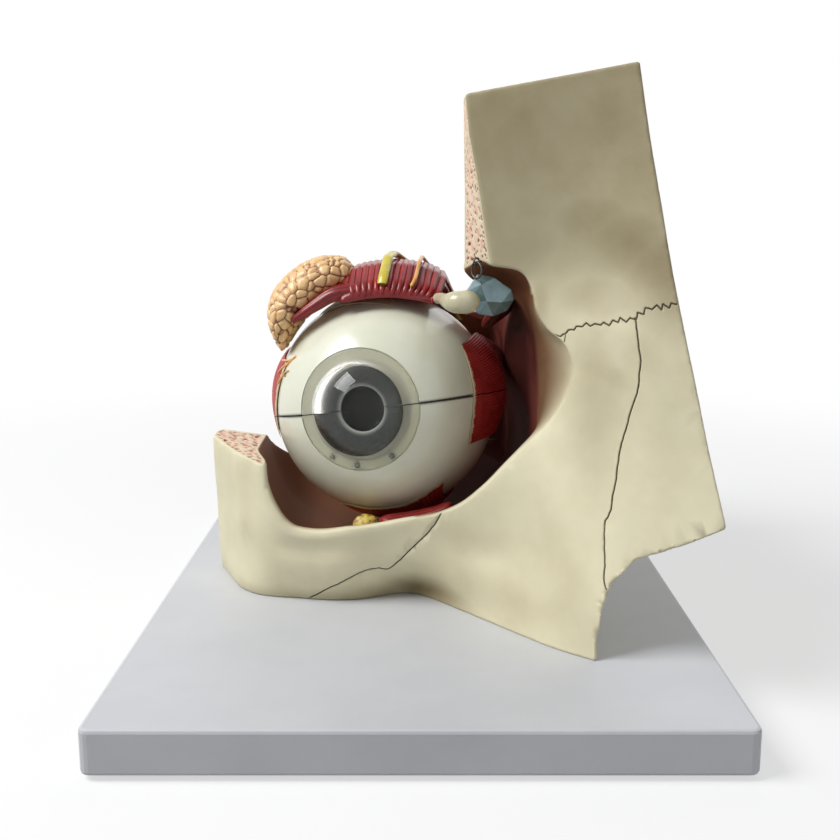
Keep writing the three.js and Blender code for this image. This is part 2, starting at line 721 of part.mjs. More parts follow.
// Choroid with the ciliary ring, and the iris on its front
const choroidInner = choroidRadius - choroidWall;
const choroidProfile = [
  ...sweep(choroidRadius, -choroidRadius, Math.sqrt(choroidRadius ** 2 - ringOuter ** 2), 8),
  [ringOuter, ringFront],
  [ringHole, ringFront],
  [ringHole, ringBack],
  ...sweep(choroidInner, ringBack - 5.5, -choroidInner, 7),
];
const choroidShell = turned(choroidProfile, 28);
node('choroid_upper', keep(choroidShell, aboveSeam), 'choroid', eyeGroup);
node('choroid_lower', keep(choroidShell, belowSeam), 'choroid', eyeGroup);
const irisDisc = turned([
  [pupilRadius, irisPlane], [irisRadius, irisPlane], [irisRadius, irisPlane + irisThickness - 0.4],
  [pupilRadius + 0.6, irisPlane + irisThickness], [pupilRadius, irisPlane + irisThickness - 0.5],
  [pupilRadius, irisPlane],
], 28);
node('iris_upper', keep(irisDisc, aboveSeam), 'iris', eyeGroup);
node('iris_lower', keep(irisDisc, belowSeam), 'iris', eyeGroup);

// Lens and vitreous body
function capTo(rimRadius, rimAlong, tip, steps) {
  const height = tip - rimAlong;
  const radius = (rimRadius ** 2 + height ** 2) / (2 * Math.abs(height));
  return arc(radius, tip - Math.sign(height) * radius, 0, rimRadius, steps, Math.sign(height));
}
node('lens', turned([
  ...capTo(lensRadius, lensRim - lensRimThickness / 2, lensBack, 3),
  ...capTo(lensRadius, lensRim + lensRimThickness / 2, lensFront, 3).reverse(),
], 24), 'lens', eyeGroup);
node('vitreous_body', turned([
  ...sweep(vitreousRadius, -vitreousRadius, vitreousFlat, 8), [0, vitreousFlat],
], 24), 'vitreous', eyeGroup);

// Muscles: a band that starts thin on the ball, wraps it, and leaves it along its tangent to the apex.

const apex = new THREE.Vector3(apexX, apexY, apexHeight);
const bandSteps = 6;

function bandRing(centre, out, side, radius, halfSpan, thickness) {
  const spread = halfSpan / radius;
  const point = (share, height) => {
    const angle = spread * share;
    return centre.clone()
      .addScaledVector(out, (radius + height) * Math.cos(angle))
      .addScaledVector(side, (radius + height) * Math.sin(angle));
  };
  const ring = [];
  for (let k = 0; k <= bandSteps; k += 1) ring.push(point(-1 + (2 * k) / bandSteps, 0));
  for (let k = bandSteps; k >= 0; k -= 1) {
    const share = -1 + (2 * k) / bandSteps;
    ring.push(point(share, thickness * (1 - 0.72 * share * share)));
  }
  return ring;
}

// Returns the band's rings: on the ball from `start` radians before the tangent point, then `run` beyond it.
function bandPath(towards, start, end) {
  const reach = new THREE.Vector3().subVectors(end, eyeCentre);
  const aim = reach.clone().normalize();
  const sideways = towards.clone().addScaledVector(aim, -towards.dot(aim)).normalize();
  const ride = scleraRadius + fitGap;
  const lift = Math.acos(ride / reach.length());
  const out = (angle) => aim.clone().multiplyScalar(Math.cos(lift + angle)).addScaledVector(sideways, Math.sin(lift + angle));
  const side = new THREE.Vector3().crossVectors(out(0), aim).normalize();
  const tangent = eyeCentre.clone().addScaledVector(out(0), ride);
  return { out, side, ride, tangent, along: new THREE.Vector3().subVectors(end, tangent), start };
}

function frontBand(path, halfSpan, thickness, tongue) {
  const rings = [];
  const steps = 8;
  for (let i = 0; i <= steps; i += 1) {
    const share = i / steps;
    const angle = path.start * (1 - share);
    const grow = rectusEdge + (thickness - rectusEdge) * smooth(share * 1.15);
    rings.push(bandRing(eyeCentre, path.out(angle), path.side, path.ride, halfSpan * (0.94 + 0.06 * share), grow));
  }
  const step = path.along.clone().normalize();
  for (const share of [0.5, 1]) {
    const centre = eyeCentre.clone().addScaledVector(step, tongue * share);
    rings.push(bandRing(centre, path.out(0), path.side, path.ride, halfSpan * (1 - 0.1 * share), thickness));
  }
  return loft(rings);
}

function rearBand(path, halfSpan, thickness, from, endSpan) {
  const length = path.along.length();
  const step = path.along.clone().normalize();
  const rings = [0, 0.25, 0.5, 0.75, 1].map((share) => {
    const distance = from + (length - from) * share;
    const centre = eyeCentre.clone().addScaledVector(step, distance);
    const span = halfSpan * 0.9 + (endSpan - halfSpan * 0.9) * share;
    return bandRing(centre, path.out(0), path.side, path.ride, span, thickness * (1 - 0.3 * share));
  });
  return loft(rings);
}

const across = {
  medial: new THREE.Vector3(1, 0, 0),
  lateral: new THREE.Vector3(-1, 0, 0),
  inferior: new THREE.Vector3(0, 0, -1),
  superior: new THREE.Vector3(0, 0, 1),
};
for (const key of Object.keys(across)) {
  across[key].transformDirection(eyeGroup.matrix);
}
const sideStep = 8.6;
const lifted = (direction, share) => direction.clone().addScaledVector(across.superior, share).normalize();
const medialPath = bandPath(lifted(across.medial, 0.1), turn(39), apex.clone().addScaledVector(across.medial, sideStep));
const lateralPath = bandPath(lifted(across.lateral, 0.29), turn(67), apex.clone().addScaledVector(across.lateral, sideStep));
const inferiorPath = bandPath(across.inferior, turn(50), apex.clone().addScaledVector(across.inferior, sideStep));
const superiorPath = bandPath(
  across.superior,
  turn(42),
  new THREE.Vector3(12, 64, 97),
);

const aboveSeamRow = geometryAt(aboveSeam, eyeGroup.matrix);
const belowSeamRow = geometryAt(belowSeam, eyeGroup.matrix);
function geometryAt(geometry, matrix) {
  return geometry.clone().applyMatrix4(matrix);
}
function splitPlane(path, normal, tongue) {
  const point = path.tangent.clone().addScaledVector(path.along.clone().normalize(), tongue);
  return { point, normal: normal.clone().normalize() };
}
function beforeSplit(plane) {
  return sideOf(plane.point.clone().addScaledVector(plane.normal, -splitGap / 2), plane.normal.clone().negate());
}
function behindSplit(plane) {
  return sideOf(plane.point.clone().addScaledVector(plane.normal, splitGap / 2), plane.normal);
}

const medialSplit = splitPlane(medialPath, new THREE.Vector3(0, 1, -0.15), tongueLength);
const lateralSplit = splitPlane(lateralPath, new THREE.Vector3(0.6, 0.78, -0.12), lateralTongue);
const inferiorSplit = splitPlane(inferiorPath, new THREE.Vector3(0.15, 0.97, -0.12), tongueLength);
const superiorSplit = splitPlane(superiorPath, new THREE.Vector3(0, 1, 0.05), tongueLength);
const overrun = 8;

function bands(path, split, halfSpan, endSpan, thickness = rectusThickness, tongue = tongueLength) {
  const front = keep(frontBand(path, halfSpan, thickness, tongue + overrun), beforeSplit(split));
  const rear = keep(
    rearBand(path, halfSpan, thickness, tongue - overrun, endSpan),
    behindSplit(split),
  );
  return { front, rear };
}
const medial = bands(medialPath, medialSplit, medialHalfWidth, 5);
const lateral = bands(lateralPath, lateralSplit, lateralHalfWidth, 5, rectusThickness, lateralTongue);
const inferior = bands(inferiorPath, inferiorSplit, inferiorHalfWidth, 5);
const superior = bands(superiorPath, superiorSplit, superiorHalfWidth, 7, superiorThickness);

// The way the ball lifts out, and the room that it needs on that way
const liftWay = new THREE.Vector3(-0.2255, 0.0842, 0.9705).normalize();
const liftLength = 120;
const liftRoom = new THREE.CapsuleGeometry(scleraRadius + 2 * fitGap, liftLength, 16, 48)
  .translate(0, liftLength / 2, 0)
  .applyQuaternion(new THREE.Quaternion().setFromUnitVectors(new THREE.Vector3(0, 1, 0), liftWay))
  .translate(eyeX, eyeY, eyeHeight);

// The upper front corner of the medial band is rounded off.
const medialCorner = prism([
  [-10, 94], [17.4, 94], [15.9, 98.7], [12.5, 105.3], [9, 112], [-10, 112],
], 'y', -60, 2);
const unturn = (geometry) => geometryAt(geometry, toEye);
node('medial_rectus_upper', unturn(cut(keep(medial.front, aboveSeamRow), medialCorner)), 'muscle', eyeGroup);
node('medial_rectus_lower', unturn(keep(medial.front, belowSeamRow)), 'muscle', eyeGroup);
node('lateral_rectus_upper', unturn(keep(lateral.front, aboveSeamRow)), 'muscle', eyeGroup);
node('lateral_rectus_lower', unturn(keep(lateral.front, belowSeamRow)), 'muscle', eyeGroup);
node('inferior_rectus', unturn(inferior.front), 'muscle', eyeGroup);
node('superior_rectus', unturn(superior.front), 'muscle', eyeGroup);
node('medial_rectus_rear', cut(keep(medial.rear, insideSocket), liftRoom), 'muscle');
node('lateral_rectus_rear', cut(lateral.rear, liftRoom), 'muscle');
node('inferior_rectus_rear', keep(inferior.rear, insideSocket), 'muscle');
node('superior_rectus_rear', superior.rear, 'muscle');

// Tubes and soft rods: round sections along a curve
function rod(points, radii, sides = 12, flats = radii.map(() => 1)) {
  const curve = new THREE.CatmullRomCurve3(points);
  const steps = radii.length - 1;
  const rings = radii.map((radius, i) => {
    const centre = curve.getPointAt(i / steps);
    const ahead = curve.getTangentAt(i / steps);
    const level = new THREE.Vector3(0, 0, 1).cross(ahead).normalize();
    const upward = ahead.clone().cross(level);
    return Array.from({ length: sides }, (_, j) => {
      const angle = (2 * Math.PI * j) / sides;
      return centre.clone()
        .addScaledVector(level, radius * Math.cos(angle))
        .addScaledVector(upward, radius * flats[i] * Math.sin(angle));
    });
  });
  return loft(rings);
}

const nerveStart = new THREE.Vector3(0.24, 0.965, -0.05).normalize();
const nerveRoot = eyeCentre.clone().addScaledVector(nerveStart, scleraRadius - 3);
const canalEnd = new THREE.Vector3(canalX, boneBack, canalHeight);
const nervePoints = [
  nerveRoot,
  nerveRoot.clone().addScaledVector(nerveStart, opticStubLength + 3),
  new THREE.Vector3(apexX - 3, apexY - 4, apexHeight - 0.5),
  canalEnd,
];
const nerveSplit = {
  point: nerveRoot.clone().addScaledVector(nerveStart, opticStubLength + 3),
  normal: new THREE.Vector3(0.3, 0.88, -0.34).normalize(),
};
const nerveRadii = Array.from({ length: 9 }, () => opticNerveRadius);
const opticNerve = rod(nervePoints, nerveRadii, 16);
const ballRoom = new THREE.SphereGeometry(scleraRadius + 0.5, 48, 32).translate(eyeX, eyeY, eyeHeight);
node('optic_nerve_stub', unturn(cut(keep(opticNerve, beforeSplit(nerveSplit)), ballRoom)), 'nerve', eyeGroup);
node('optic_nerve', keep(opticNerve, behindSplit(nerveSplit)), 'nerve');

// Superior oblique: its pulley, the belly along the inner wall, and the tendon in front
// Screw eye in the bone over the pulley, and the wire ring that hangs in it and carries the pulley
function wireRing(radius, z, flip, grow = 0) {
  return new THREE.TorusGeometry(radius, wireRadius + grow, 6, 14).rotateX(Math.PI / 2)
    .rotateZ(flip)
    .translate(ringX, ringY, z);
}
const ringTurn = turn(eyeletTurn + 90);
node('trochlea', cut(trochleaBlock(0), wireRing(ringRadius, ringHeight, ringTurn, fitGap)), 'trochlea');
node('trochlea_ring', wireRing(ringRadius, ringHeight, ringTurn), 'steel');
node('hook_eye', join(
  wireRing(eyeletRadius, eyeletHeight, turn(eyeletTurn)),
  eyeletShaft(0),
), 'steel');

const bellyEnd = trochleaFront + trochleaDepth + 2 * fitGap;
node('superior_oblique_belly', keep(rod([
  new THREE.Vector3(trochleaX, bellyEnd, pulleyTop - 9.4),
  new THREE.Vector3(trochleaX + 4.2, bellyEnd + 18, pulleyTop - 10.2),
  new THREE.Vector3(32, 30, 112),
  new THREE.Vector3(28, 66, 101),
], [1.8, 2.6, 3.6, 4.2, 4, 3.2, 2.2], 10), insideSocket), 'muscle');

node('superior_oblique_tendon', rod([
  overBall(19.8, -22.4, 43),
  overBall(21, -31, 41.2),
  new THREE.Vector3(ringX - 6.6, trochleaFront - 3.8, pulleyTop - 8.8),
  new THREE.Vector3(ringX + 1, trochleaFront - 2.6, pulleyTop - 8.2),
], [2.4, 2.6, 3.2, 3.7, 3.7, 3.1, 2.3], 14), 'tendon');

// Nerve and oblique muscle on the floor of the orbit
node('infraorbital_nerve', keep(rod([
  new THREE.Vector3(-18.8, -26, 40),
  new THREE.Vector3(-18.8, -15, 34.4),
  new THREE.Vector3(-17, 4, 31.4),
  new THREE.Vector3(-13, 18, 31.7),
], [3.6, 3.6, 3.6, 3.6, 3.4, 3.2, 3], 12, [1.15, 0.9, 0.6, 0.45, 0.42, 0.42, 0.42]), insideSocket), 'nerve');
node('inferior_oblique', keep(rod([
  new THREE.Vector3(11, -31.8, 49.2),
  new THREE.Vector3(5, -31.2, 46.4),
  new THREE.Vector3(-4, -30.4, 44),
  new THREE.Vector3(-14, -30.4, 43),
], [2.6, 3.2, 3.6, 3.8, 3.6, 2.8], 12, [0.55, 0.55, 0.55, 0.55, 0.55, 0.55]), insideSocket), 'muscle');

// Levator of the lid over the ball, with the tail that runs out sideways under the gland.
// Each section: its middle from the ball's centre, half its width, and its thickness.
const levatorSections = [
  [1.2, -20, 41.3, 15.8, 3], [1.8, -17.5, 43, 17.6, 5.6], [2.6, -8, 47.8, 18.4, 7.2], [3.6, 4, 48.8, 17.6, 7],
  [7.6, 20, 44.6, 15, 6.8], [14.1, 40, 36.2, 12, 6.2], [22.6, 62, 27.2, 8.4, 5.6],
].map(([x, y, z, ...sizes]) => [...overBall(x, y, z), ...sizes]);
const levatorSag = 100;
function levatorSolid(grow) {
  const rings = levatorSections.map(([x, y, z, halfSpan, thickness], i) => {
    const count = 9;
    const top = [];
    const bottom = [];
    const push = i === 0 ? -grow : (i === levatorSections.length - 1 ? grow : 0);
    for (let k = 0; k < count; k += 1) {
      const share = -1 + (2 * k) / (count - 1);
      const edge = Math.sqrt(Math.max(0, 1 - share ** 6));
      const sag = (share * halfSpan) ** 2 / levatorSag;
      const px = x + share * (halfSpan + grow);
      top.push(new THREE.Vector3(px, y + push, z - sag + (thickness / 2) * (0.35 + 0.65 * edge) + grow));
      bottom.push(new THREE.Vector3(px, y + push, z - sag - (thickness / 2) * (0.35 + 0.65 * edge) - grow));
    }
    return [...top, ...bottom.reverse()];
  });
  const tail = rod([
    overBall(-7.4, -15.6, 42),
    overBall(-17, -16.4, 40.8),
    overBall(-23.4, -16.4, 37.2),
    overBall(-32.4 - grow, -15.4, 31.2 - 0.7 * grow),
  ], [3, 3, 2.7, 2.3, 1.9, 1.1].map((r) => r + grow), 12);
  return join(loft(rings), tail);
}
node('levator_palpebrae', levatorSolid(0), 'muscle');

// Lacrimal gland: a bent, lobed body round the tail
const glandOutline = [
  [152, 43.5], [148, 47.4], [144, 51.8], [140, 54.8], [134, 57.4], [127, 58.6], [119, 59], [112, 58],
  [106, 55.8], [101.5, 53],
];
const glandInner = [40.6, 45.5];
const glandHalfDepth = 13.5;
const glandSides = 24;
function glandSolid() {
  const last = glandOutline.length - 1;
  return loft(glandOutline.map(([degrees, outer], i) => {
    const share = i / last;
    const inner = glandInner[0] + (glandInner[1] - glandInner[0]) * share ** 2;
    const middle = (outer + inner) / 2;
    const swell = Math.sqrt(Math.max(0.06, 1 - (2 * share - 1) ** 2));
    return Array.from({ length: glandSides }, (_, j) => {
      const angle = (2 * Math.PI * j) / glandSides;
      const lobes = 1 + 0.04 * Math.cos(7 * angle + 2.1 * i);
      const radial = middle + (outer - middle) * lobes * Math.cos(angle);
      return new THREE.Vector3(
        eyeX + radial * Math.cos(turn(degrees)),
        eyeY - 4 + glandHalfDepth * swell * lobes * Math.sin(angle),
        eyeHeight + radial * Math.sin(turn(degrees)),
      );
    });
  }));
}
const glandRoom = new THREE.SphereGeometry(scleraRadius + 1, 48, 32).translate(eyeX, eyeY, eyeHeight);
const lateralRoom = frontBand(lateralPath, lateralHalfWidth + 1, rectusThickness + 1, tongueLength);
node('lacrimal_gland', cut(glandSolid(), glandRoom, levatorSolid(fitGap), lateralRoom), 'gland');

// Nerves that lie across the levator
function levatorTop(share, y) {
  let k = levatorSections.findIndex(([, sectionY]) => sectionY >= y);
  k = Math.max(1, k);
  const [a, b] = [levatorSections[k - 1], levatorSections[k]];
  const t = (y - a[1]) / (b[1] - a[1]);
  const [x, , z, halfSpan, thickness] = a.map((value, i) => value + (b[i] - value) * t);
  const edge = Math.sqrt(Math.max(0, 1 - share ** 6));
  return new THREE.Vector3(
    x + share * halfSpan,
    y,
    z - (share * halfSpan) ** 2 / levatorSag + (thickness / 2) * (0.35 + 0.65 * edge),
  );
}
function nerveOver(share, drift, radius, flat) {
  const rows = [-20, -17.5, -13, -8, -2, 4, 12, 20, 30, 40];
  const points = rows.map((y) => {
    const slide = share + (drift * (y + 19)) / 59;
    return levatorTop(slide, eyeY + y).add(new THREE.Vector3(0, 0, radius * flat + 2.6 * fitGap));
  });
  return rod(points, rows.map(() => radius), 6, rows.map(() => flat));
}
node('supraorbital_nerve', nerveOver(-0.1, 0.2, 1.8, 0.5), 'nerve');
node('supratrochlear_nerve', nerveOver(0.52, 0.1, 0.7, 0.8), 'thinNerve');

export default group;
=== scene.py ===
"""Looks of the eye anatomy model: a ball that comes apart in a cut orbit on a board.

Sizes inside the classes are millimetres in the CAD's frame; meshes are made in metres.
"""
from __future__ import annotations

import json
import logging
import math
from dataclasses import dataclass, field, replace
from enum import Enum
from functools import reduce
from typing import Callable, Iterable, Sequence
import bmesh
import bpy
import numpy as np
from mathutils import Matrix, Vector
from mathutils.bvhtree import BVHTree
from mathutils.kdtree import KDTree


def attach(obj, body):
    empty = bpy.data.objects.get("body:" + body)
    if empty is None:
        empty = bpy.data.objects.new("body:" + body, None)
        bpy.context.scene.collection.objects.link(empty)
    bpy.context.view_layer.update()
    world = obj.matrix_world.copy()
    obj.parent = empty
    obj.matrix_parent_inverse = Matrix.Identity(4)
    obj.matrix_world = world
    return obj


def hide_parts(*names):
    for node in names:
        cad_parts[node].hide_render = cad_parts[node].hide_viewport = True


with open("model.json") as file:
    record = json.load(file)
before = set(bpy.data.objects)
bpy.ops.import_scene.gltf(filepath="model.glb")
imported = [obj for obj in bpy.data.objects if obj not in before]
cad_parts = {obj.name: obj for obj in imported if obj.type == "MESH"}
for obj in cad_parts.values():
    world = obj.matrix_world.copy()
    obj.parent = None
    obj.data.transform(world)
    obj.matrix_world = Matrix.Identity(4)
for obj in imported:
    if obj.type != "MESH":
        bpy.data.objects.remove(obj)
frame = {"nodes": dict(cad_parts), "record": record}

LOG = logging.getLogger("eye_model")
METRES = 0.001
EYE = np.array([-12.6, 2.0, 78.6])
BALL = 40.0
FIT = 0.35
SEAM = 0.36
GAZE_TURN, GAZE_RISE, SEAM_ROLL = 13.0, 5.5, 8.0
EYE_TURN = np.array(
    Matrix.Rotation(-math.radians(GAZE_TURN), 3, "Z")
    @ Matrix.Rotation(-math.radians(GAZE_RISE), 3, "X")
    @ Matrix.Rotation(-math.radians(SEAM_ROLL), 3, "Y")
)
Triple = tuple[float, float, float]
Row = tuple[float, ...]
Outline = tuple[tuple[float, float], ...]
Piece = bpy.types.Object
Socket = bpy.types.NodeSocket


class Body(Enum):
    """The CAD bodies that pieces ride on."""

    STAND = "stand"
    BALL_LOWER = "ball_lower"
    CHOROID_BOWL = "choroid_bowl"
    VITREOUS = "vitreous"
    LENS = "lens_body"
    CHOROID_CAP = "choroid_cap"
    BALL_UPPER = "ball_upper"
    LID = "lid_lifter"


class Side(Enum):
    """The two sides of the ball's slanted seam."""

    UPPER = 1
    LOWER = -1


NODE_BODY: dict[str, Body] = {
    node: Body(body) for body, nodes in frame["record"]["behaviour"]["bodies"].items() for node in nodes
}


# Shader expressions


class Nodes:
    """Makes and joins nodes in one tree."""

    def __init__(self, tree: bpy.types.NodeTree) -> None:
        """Keeps the tree."""
        self.tree = tree

    def node(self, kind: str, settings: dict | None = None, **sockets: object) -> bpy.types.Node:
        """Adds a node.

        Args:
            kind: The node's type.
            settings: Its properties, set first.
            **sockets: Values or links of its inputs, spaces written as underscores.

        Returns:
            The new node.
        """
        made = self.tree.nodes.new(kind)
        for key, value in (settings or {}).items():
            if key == "stops":
                ramp = made.color_ramp
                while len(ramp.elements) < len(value):
                    ramp.elements.new(1.0)
                for element, (place, shade) in zip(ramp.elements, value):
                    element.position = place
                    element.color = (*shade, 1.0)
            else:
                setattr(made, key, value)
        for key, value in sockets.items():
            name = key.replace("_", " ")
            by_number = name[0] == "i" and name[1:].isdigit()
            target = made.inputs[int(name[1:])] if by_number else made.inputs[name]
            self.feed(target, value)
        return made

    def feed(self, target: Socket, value: object) -> None:
        """Links or sets one input socket.

        Args:
            target: The input socket.
            value: A number, a colour, a name, a Number or another node's socket.
        """
        if isinstance(value, Number):
            value = value.socket
        if isinstance(value, Socket):
            self.tree.links.new(value, target)
        elif isinstance(value, tuple) and len(value) == 3 and target.type == "RGBA":
            target.default_value = (*value, 1.0)
        else:
            target.default_value = value


class Graph(Nodes):
    """The nodes of one material."""

    def __init__(self, material: bpy.types.Material) -> None:
        """Clears the tree and adds its output.

        Args:
            material: The material whose nodes are made.
        """
        super().__init__(material.node_tree)
        self.tree.nodes.clear()
        self.output = self.tree.nodes.new("ShaderNodeOutputMaterial")

    def place(self, scale: Triple = (1.0, 1.0, 1.0)) -> Socket:
        """Returns Object coordinates in millimetres, scaled.

        Args:
            scale: How many times finer the coordinates run along each axis.

        Returns:
            The socket of the coordinates.
        """
        at = self.node("ShaderNodeTexCoord").outputs["Object"]
        size = tuple(value / METRES for value in scale)
        return self.node("ShaderNodeMapping", None, Vector=at, Scale=size).outputs["Vector"]

    def noise(self, size: float, detail: float = 3.0, stretch: Triple = (1.0, 1.0, 1.0)) -> Number:
        """Returns noise whose lumps are about size millimetres.

        Args:
            size: Size of the lumps.
            detail: Number of finer octaves.
            stretch: Scale along each axis.

        Returns:
            The noise, about 0.5 on average.
        """
        made = self.node(
            "ShaderNodeTexNoise", None,
            Vector=self.place(stretch), Scale=1.0 / size, Detail=detail, Roughness=0.55,
        )
        return Number(self, made.outputs[0])

    def attribute(self, name: str) -> Number:
        """Returns a number that the mesh keeps at its points."""
        return Number(self, self.node("ShaderNodeAttribute", {"attribute_name": name}).outputs["Fac"])

    def mix(self, share: object, first: object, second: object) -> Socket:
        """Mixes two colours.

        Args:
            share: Share of the second colour.
            first: A colour or its socket.
            second: A colour or its socket.

        Returns:
            The socket of the mixed colour.
        """
        made = self.node("ShaderNodeMix", {"data_type": "RGBA", "clamp_factor": True})
        self.feed(made.inputs["Factor"], share)
        self.feed(made.inputs[6], first)
        self.feed(made.inputs[7], second)
        return made.outputs[2]

    def bump(self, height: Number, strength: float, distance: float) -> Socket:
        """Returns a normal from a height, with its depth in millimetres.

        Args:
            height: The height, 0 to 1.
            strength: Share of the full effect.
            distance: Depth in millimetres of a height of 1.

        Returns:
            The socket of the normal.
        """
        return self.node(
            "ShaderNodeBump", None, Height=height, Strength=strength, Distance=distance * METRES
        ).outputs["Normal"]

    def surface(self, **sockets: object) -> None:
        """Adds the surface shader and joins it to the output.

        Args:
            **sockets: Values or links of its inputs, spaces written as underscores.
        """
        shader = self.node("ShaderNodeBsdfPrincipled", None, **sockets)
        self.feed(self.output.inputs["Surface"], shader.outputs[0])


class Number:
    """A number socket that turns Python's operators into Math nodes."""

    def __init__(self, graph: Nodes, socket: Socket) -> None:
        """Wraps a socket of a tree."""
        self.graph = graph
        self.socket = socket

    def _math(self, operation: str, first: object, second: object) -> Number:
        """Adds one Math node."""
        made = self.graph.node("ShaderNodeMath", {"operation": operation}, i0=first, i1=second)
        return Number(self.graph, made.outputs[0])

    def __add__(self, other: object) -> Number:
        """Adds."""
        return self._math("ADD", self, other)

    def __mul__(self, other: object) -> Number:
        """Multiplies."""
        return self._math("MULTIPLY", self, other)

    def __sub__(self, other: object) -> Number:
        """Subtracts."""
        return self._math("SUBTRACT", self, other)

    def __rsub__(self, other: object) -> Number:
        """Subtracts from a plain number."""
        return self._math("SUBTRACT", other, self)

    def __pow__(self, other: object) -> Number:
        """Raises to a power."""
        return self._math("POWER", self, other)

    __radd__ = __add__
    __rmul__ = __mul__

    def ramp(self, low: float, high: float) -> Number:
        """Returns 0 below low and 1 above high, smooth between.

        Args:
            low: Where it starts to rise.
            high: Where it reaches 1.

        Returns:
            The ramped number.
        """
        made = self.graph.node(
            "ShaderNodeMapRange", {"interpolation_type": "SMOOTHSTEP"}, Value=self, i1=low, i2=high
        )
        return Number(self.graph, made.outputs[0])


def linear(red: int, green: int, blue: int) -> Triple:
    """Returns a screen colour as linear light.

    Args:
        red: Red from 0 to 255.
        green: Green from 0 to 255.
        blue: Blue from 0 to 255.

    Returns:
        The three linear parts from 0 to 1.
    """
    parts = (red / 255, green / 255, blue / 255)
    return tuple(c / 12.92 if c <= 0.04045 else ((c + 0.055) / 1.055) ** 2.4 for c in parts)


@dataclass(frozen=True)
class Finish:
    """A painted or moulded plastic finish: two shades, fine grain, soft wear."""

    name: str
    shade: Triple
    second: Triple
    roughness: float = 0.35
    lump: float = 9.0
    grain: float = 0.6
    grain_depth: float = 0.02
    coat: float = 0.0

    def make(self) -> bpy.types.Material:
        """Builds the material.

        Returns:
            The material, with its nodes.
        """
        material = bpy.data.materials.new(self.name)
        material.use_nodes = True
        self.wire(Graph(material))
        return material

    def wire(self, graph: Graph) -> None:
        """Joins the nodes of a plain finish.

        Args:
            graph: The material's nodes.
        """
        lumps = graph.noise(self.lump, 4.0)
        fine = graph.noise(self.grain, 2.0)
        graph.surface(
            Base_Color=graph.mix(lumps.ramp(0.35, 0.7), self.shade, self.second),
            Roughness=fine * 0.12 + (self.roughness - 0.06),
            Coat_Weight=self.coat,
            Normal=graph.bump(fine, 0.6, self.grain_depth),
        )


@dataclass(frozen=True)
class BoneFinish(Finish):
    """Cast resin bone: cream with airbrushed dust and painted shade, spongy cut faces, dark lines and the
    brown inside of the orbit.
    """

    dust_and_shade: Triple = linear(122, 104, 66)
    inside: Triple = linear(140, 92, 62)
    depth: Triple = linear(98, 42, 34)
    marrow: Triple = linear(236, 219, 192)
    blush: Triple = linear(228, 176, 154)
    hole: Triple = linear(128, 42, 34)
    line: Triple = linear(62, 48, 30)

    def wire(self, graph: Graph) -> None:
        """Joins the nodes of the bone.

        Args:
            graph: The material's nodes.
        """
        lumps, fine = graph.noise(16.0, 5.0), graph.noise(0.7, 3.0)
        streak = graph.noise(3.0, 4.0, (1.0, 0.25, 1.0))
        colour = graph.mix(lumps.ramp(0.3, 0.75), self.shade, self.second)
        # Airbrushed dust and painted shade: darker up the frontal plate, painted shadow in the cheek's
        # hollow, along its foot and in the lacrimal fossa.
        dust_and_shade_share = graph.attribute("airbrush") * (lumps * 0.3 + 0.85)
        colour = graph.mix(dust_and_shade_share, colour, self.dust_and_shade)
        deep = graph.attribute("deep") + (lumps - 0.5) * 0.3
        brown = graph.mix(deep.ramp(0.05, 0.95), self.inside, self.depth)
        colour = graph.mix(graph.attribute("inner"), colour, brown)
        spongy = graph.mix(graph.noise(2.2, 3.0).ramp(0.42, 0.72), self.marrow, self.blush)
        colour = graph.mix(graph.attribute("marrow"), colour, spongy)
        colour = graph.mix(graph.attribute("pit"), colour, self.hole)
        colour = graph.mix(graph.attribute("suture"), colour, self.line)
        matt = graph.attribute("marrow") * 0.12 + graph.attribute("inner") * 0.2
        graph.surface(
            Base_Color=colour,
            Roughness=fine * 0.14 + self.roughness + matt,
            Specular_IOR_Level=0.32,
            Normal=graph.bump(fine + streak * 0.6, 0.5, self.grain_depth),
        )


@dataclass(frozen=True)
class BallFinish(Finish):
    """Ivory gloss paint with painted shade along the seam."""

    dirt: Triple = linear(46, 42, 34)

    def wire(self, graph: Graph) -> None:
        """Joins the nodes of the ball.

        Args:
            graph: The material's nodes.
        """
        lumps, fine = graph.noise(self.lump, 4.0), graph.noise(self.grain, 2.0)
        colour = graph.mix(lumps.ramp(0.35, 0.7), self.shade, self.second)
        # Painted shade along the seam between the halves.
        seam_shade_amount = graph.attribute("dirt") * (fine * 0.5 + 0.7)
        graph.surface(
            Base_Color=graph.mix(seam_shade_amount, colour, self.dirt),
            Roughness=fine * 0.12 + (self.roughness - 0.06) + seam_shade_amount * 0.2,
            Coat_Weight=self.coat,
            Normal=graph.bump(fine, 0.6, self.grain_depth),
        )


@dataclass(frozen=True)
class MuscleFinish(Finish):
    """Glossy red muscle with painted shade in the valleys between its fibres and a pale tendon."""

    streak: float = 0.0
    valley: Triple = linear(88, 16, 18)
    tendon: Triple = linear(210, 188, 152)

    def wire(self, graph: Graph) -> None:
        """Joins the nodes of a muscle.

        Args:
            graph: The material's nodes.
        """
        lumps, fine = graph.noise(self.lump, 3.0), graph.noise(self.grain, 3.0)
        colour = graph.mix(lumps.ramp(0.35, 0.7), self.shade, self.second)
        # Painted shade in the valleys between fibres, and evenly over the lid lifter's body under its
        # strands.
        colour = graph.mix(graph.attribute("valley"), colour, self.valley)
        streak = graph.noise(0.9, 3.0, (1.0, 0.08, 1.0))
        colour = graph.mix(streak.ramp(0.45, 0.7) * self.streak, colour, self.valley)
        pale = graph.attribute("tendon") + (fine - 0.5) * 0.25
        colour = graph.mix(pale.ramp(0.25, 0.85), colour, self.tendon)
        graph.surface(
            Base_Color=colour,
            Roughness=fine * 0.2 + (self.roughness - 0.08),
            Specular_IOR_Level=0.3,
            Coat_Weight=self.coat,
            Normal=graph.bump(fine + streak * (self.streak * 6), 0.5, self.grain_depth),
        )


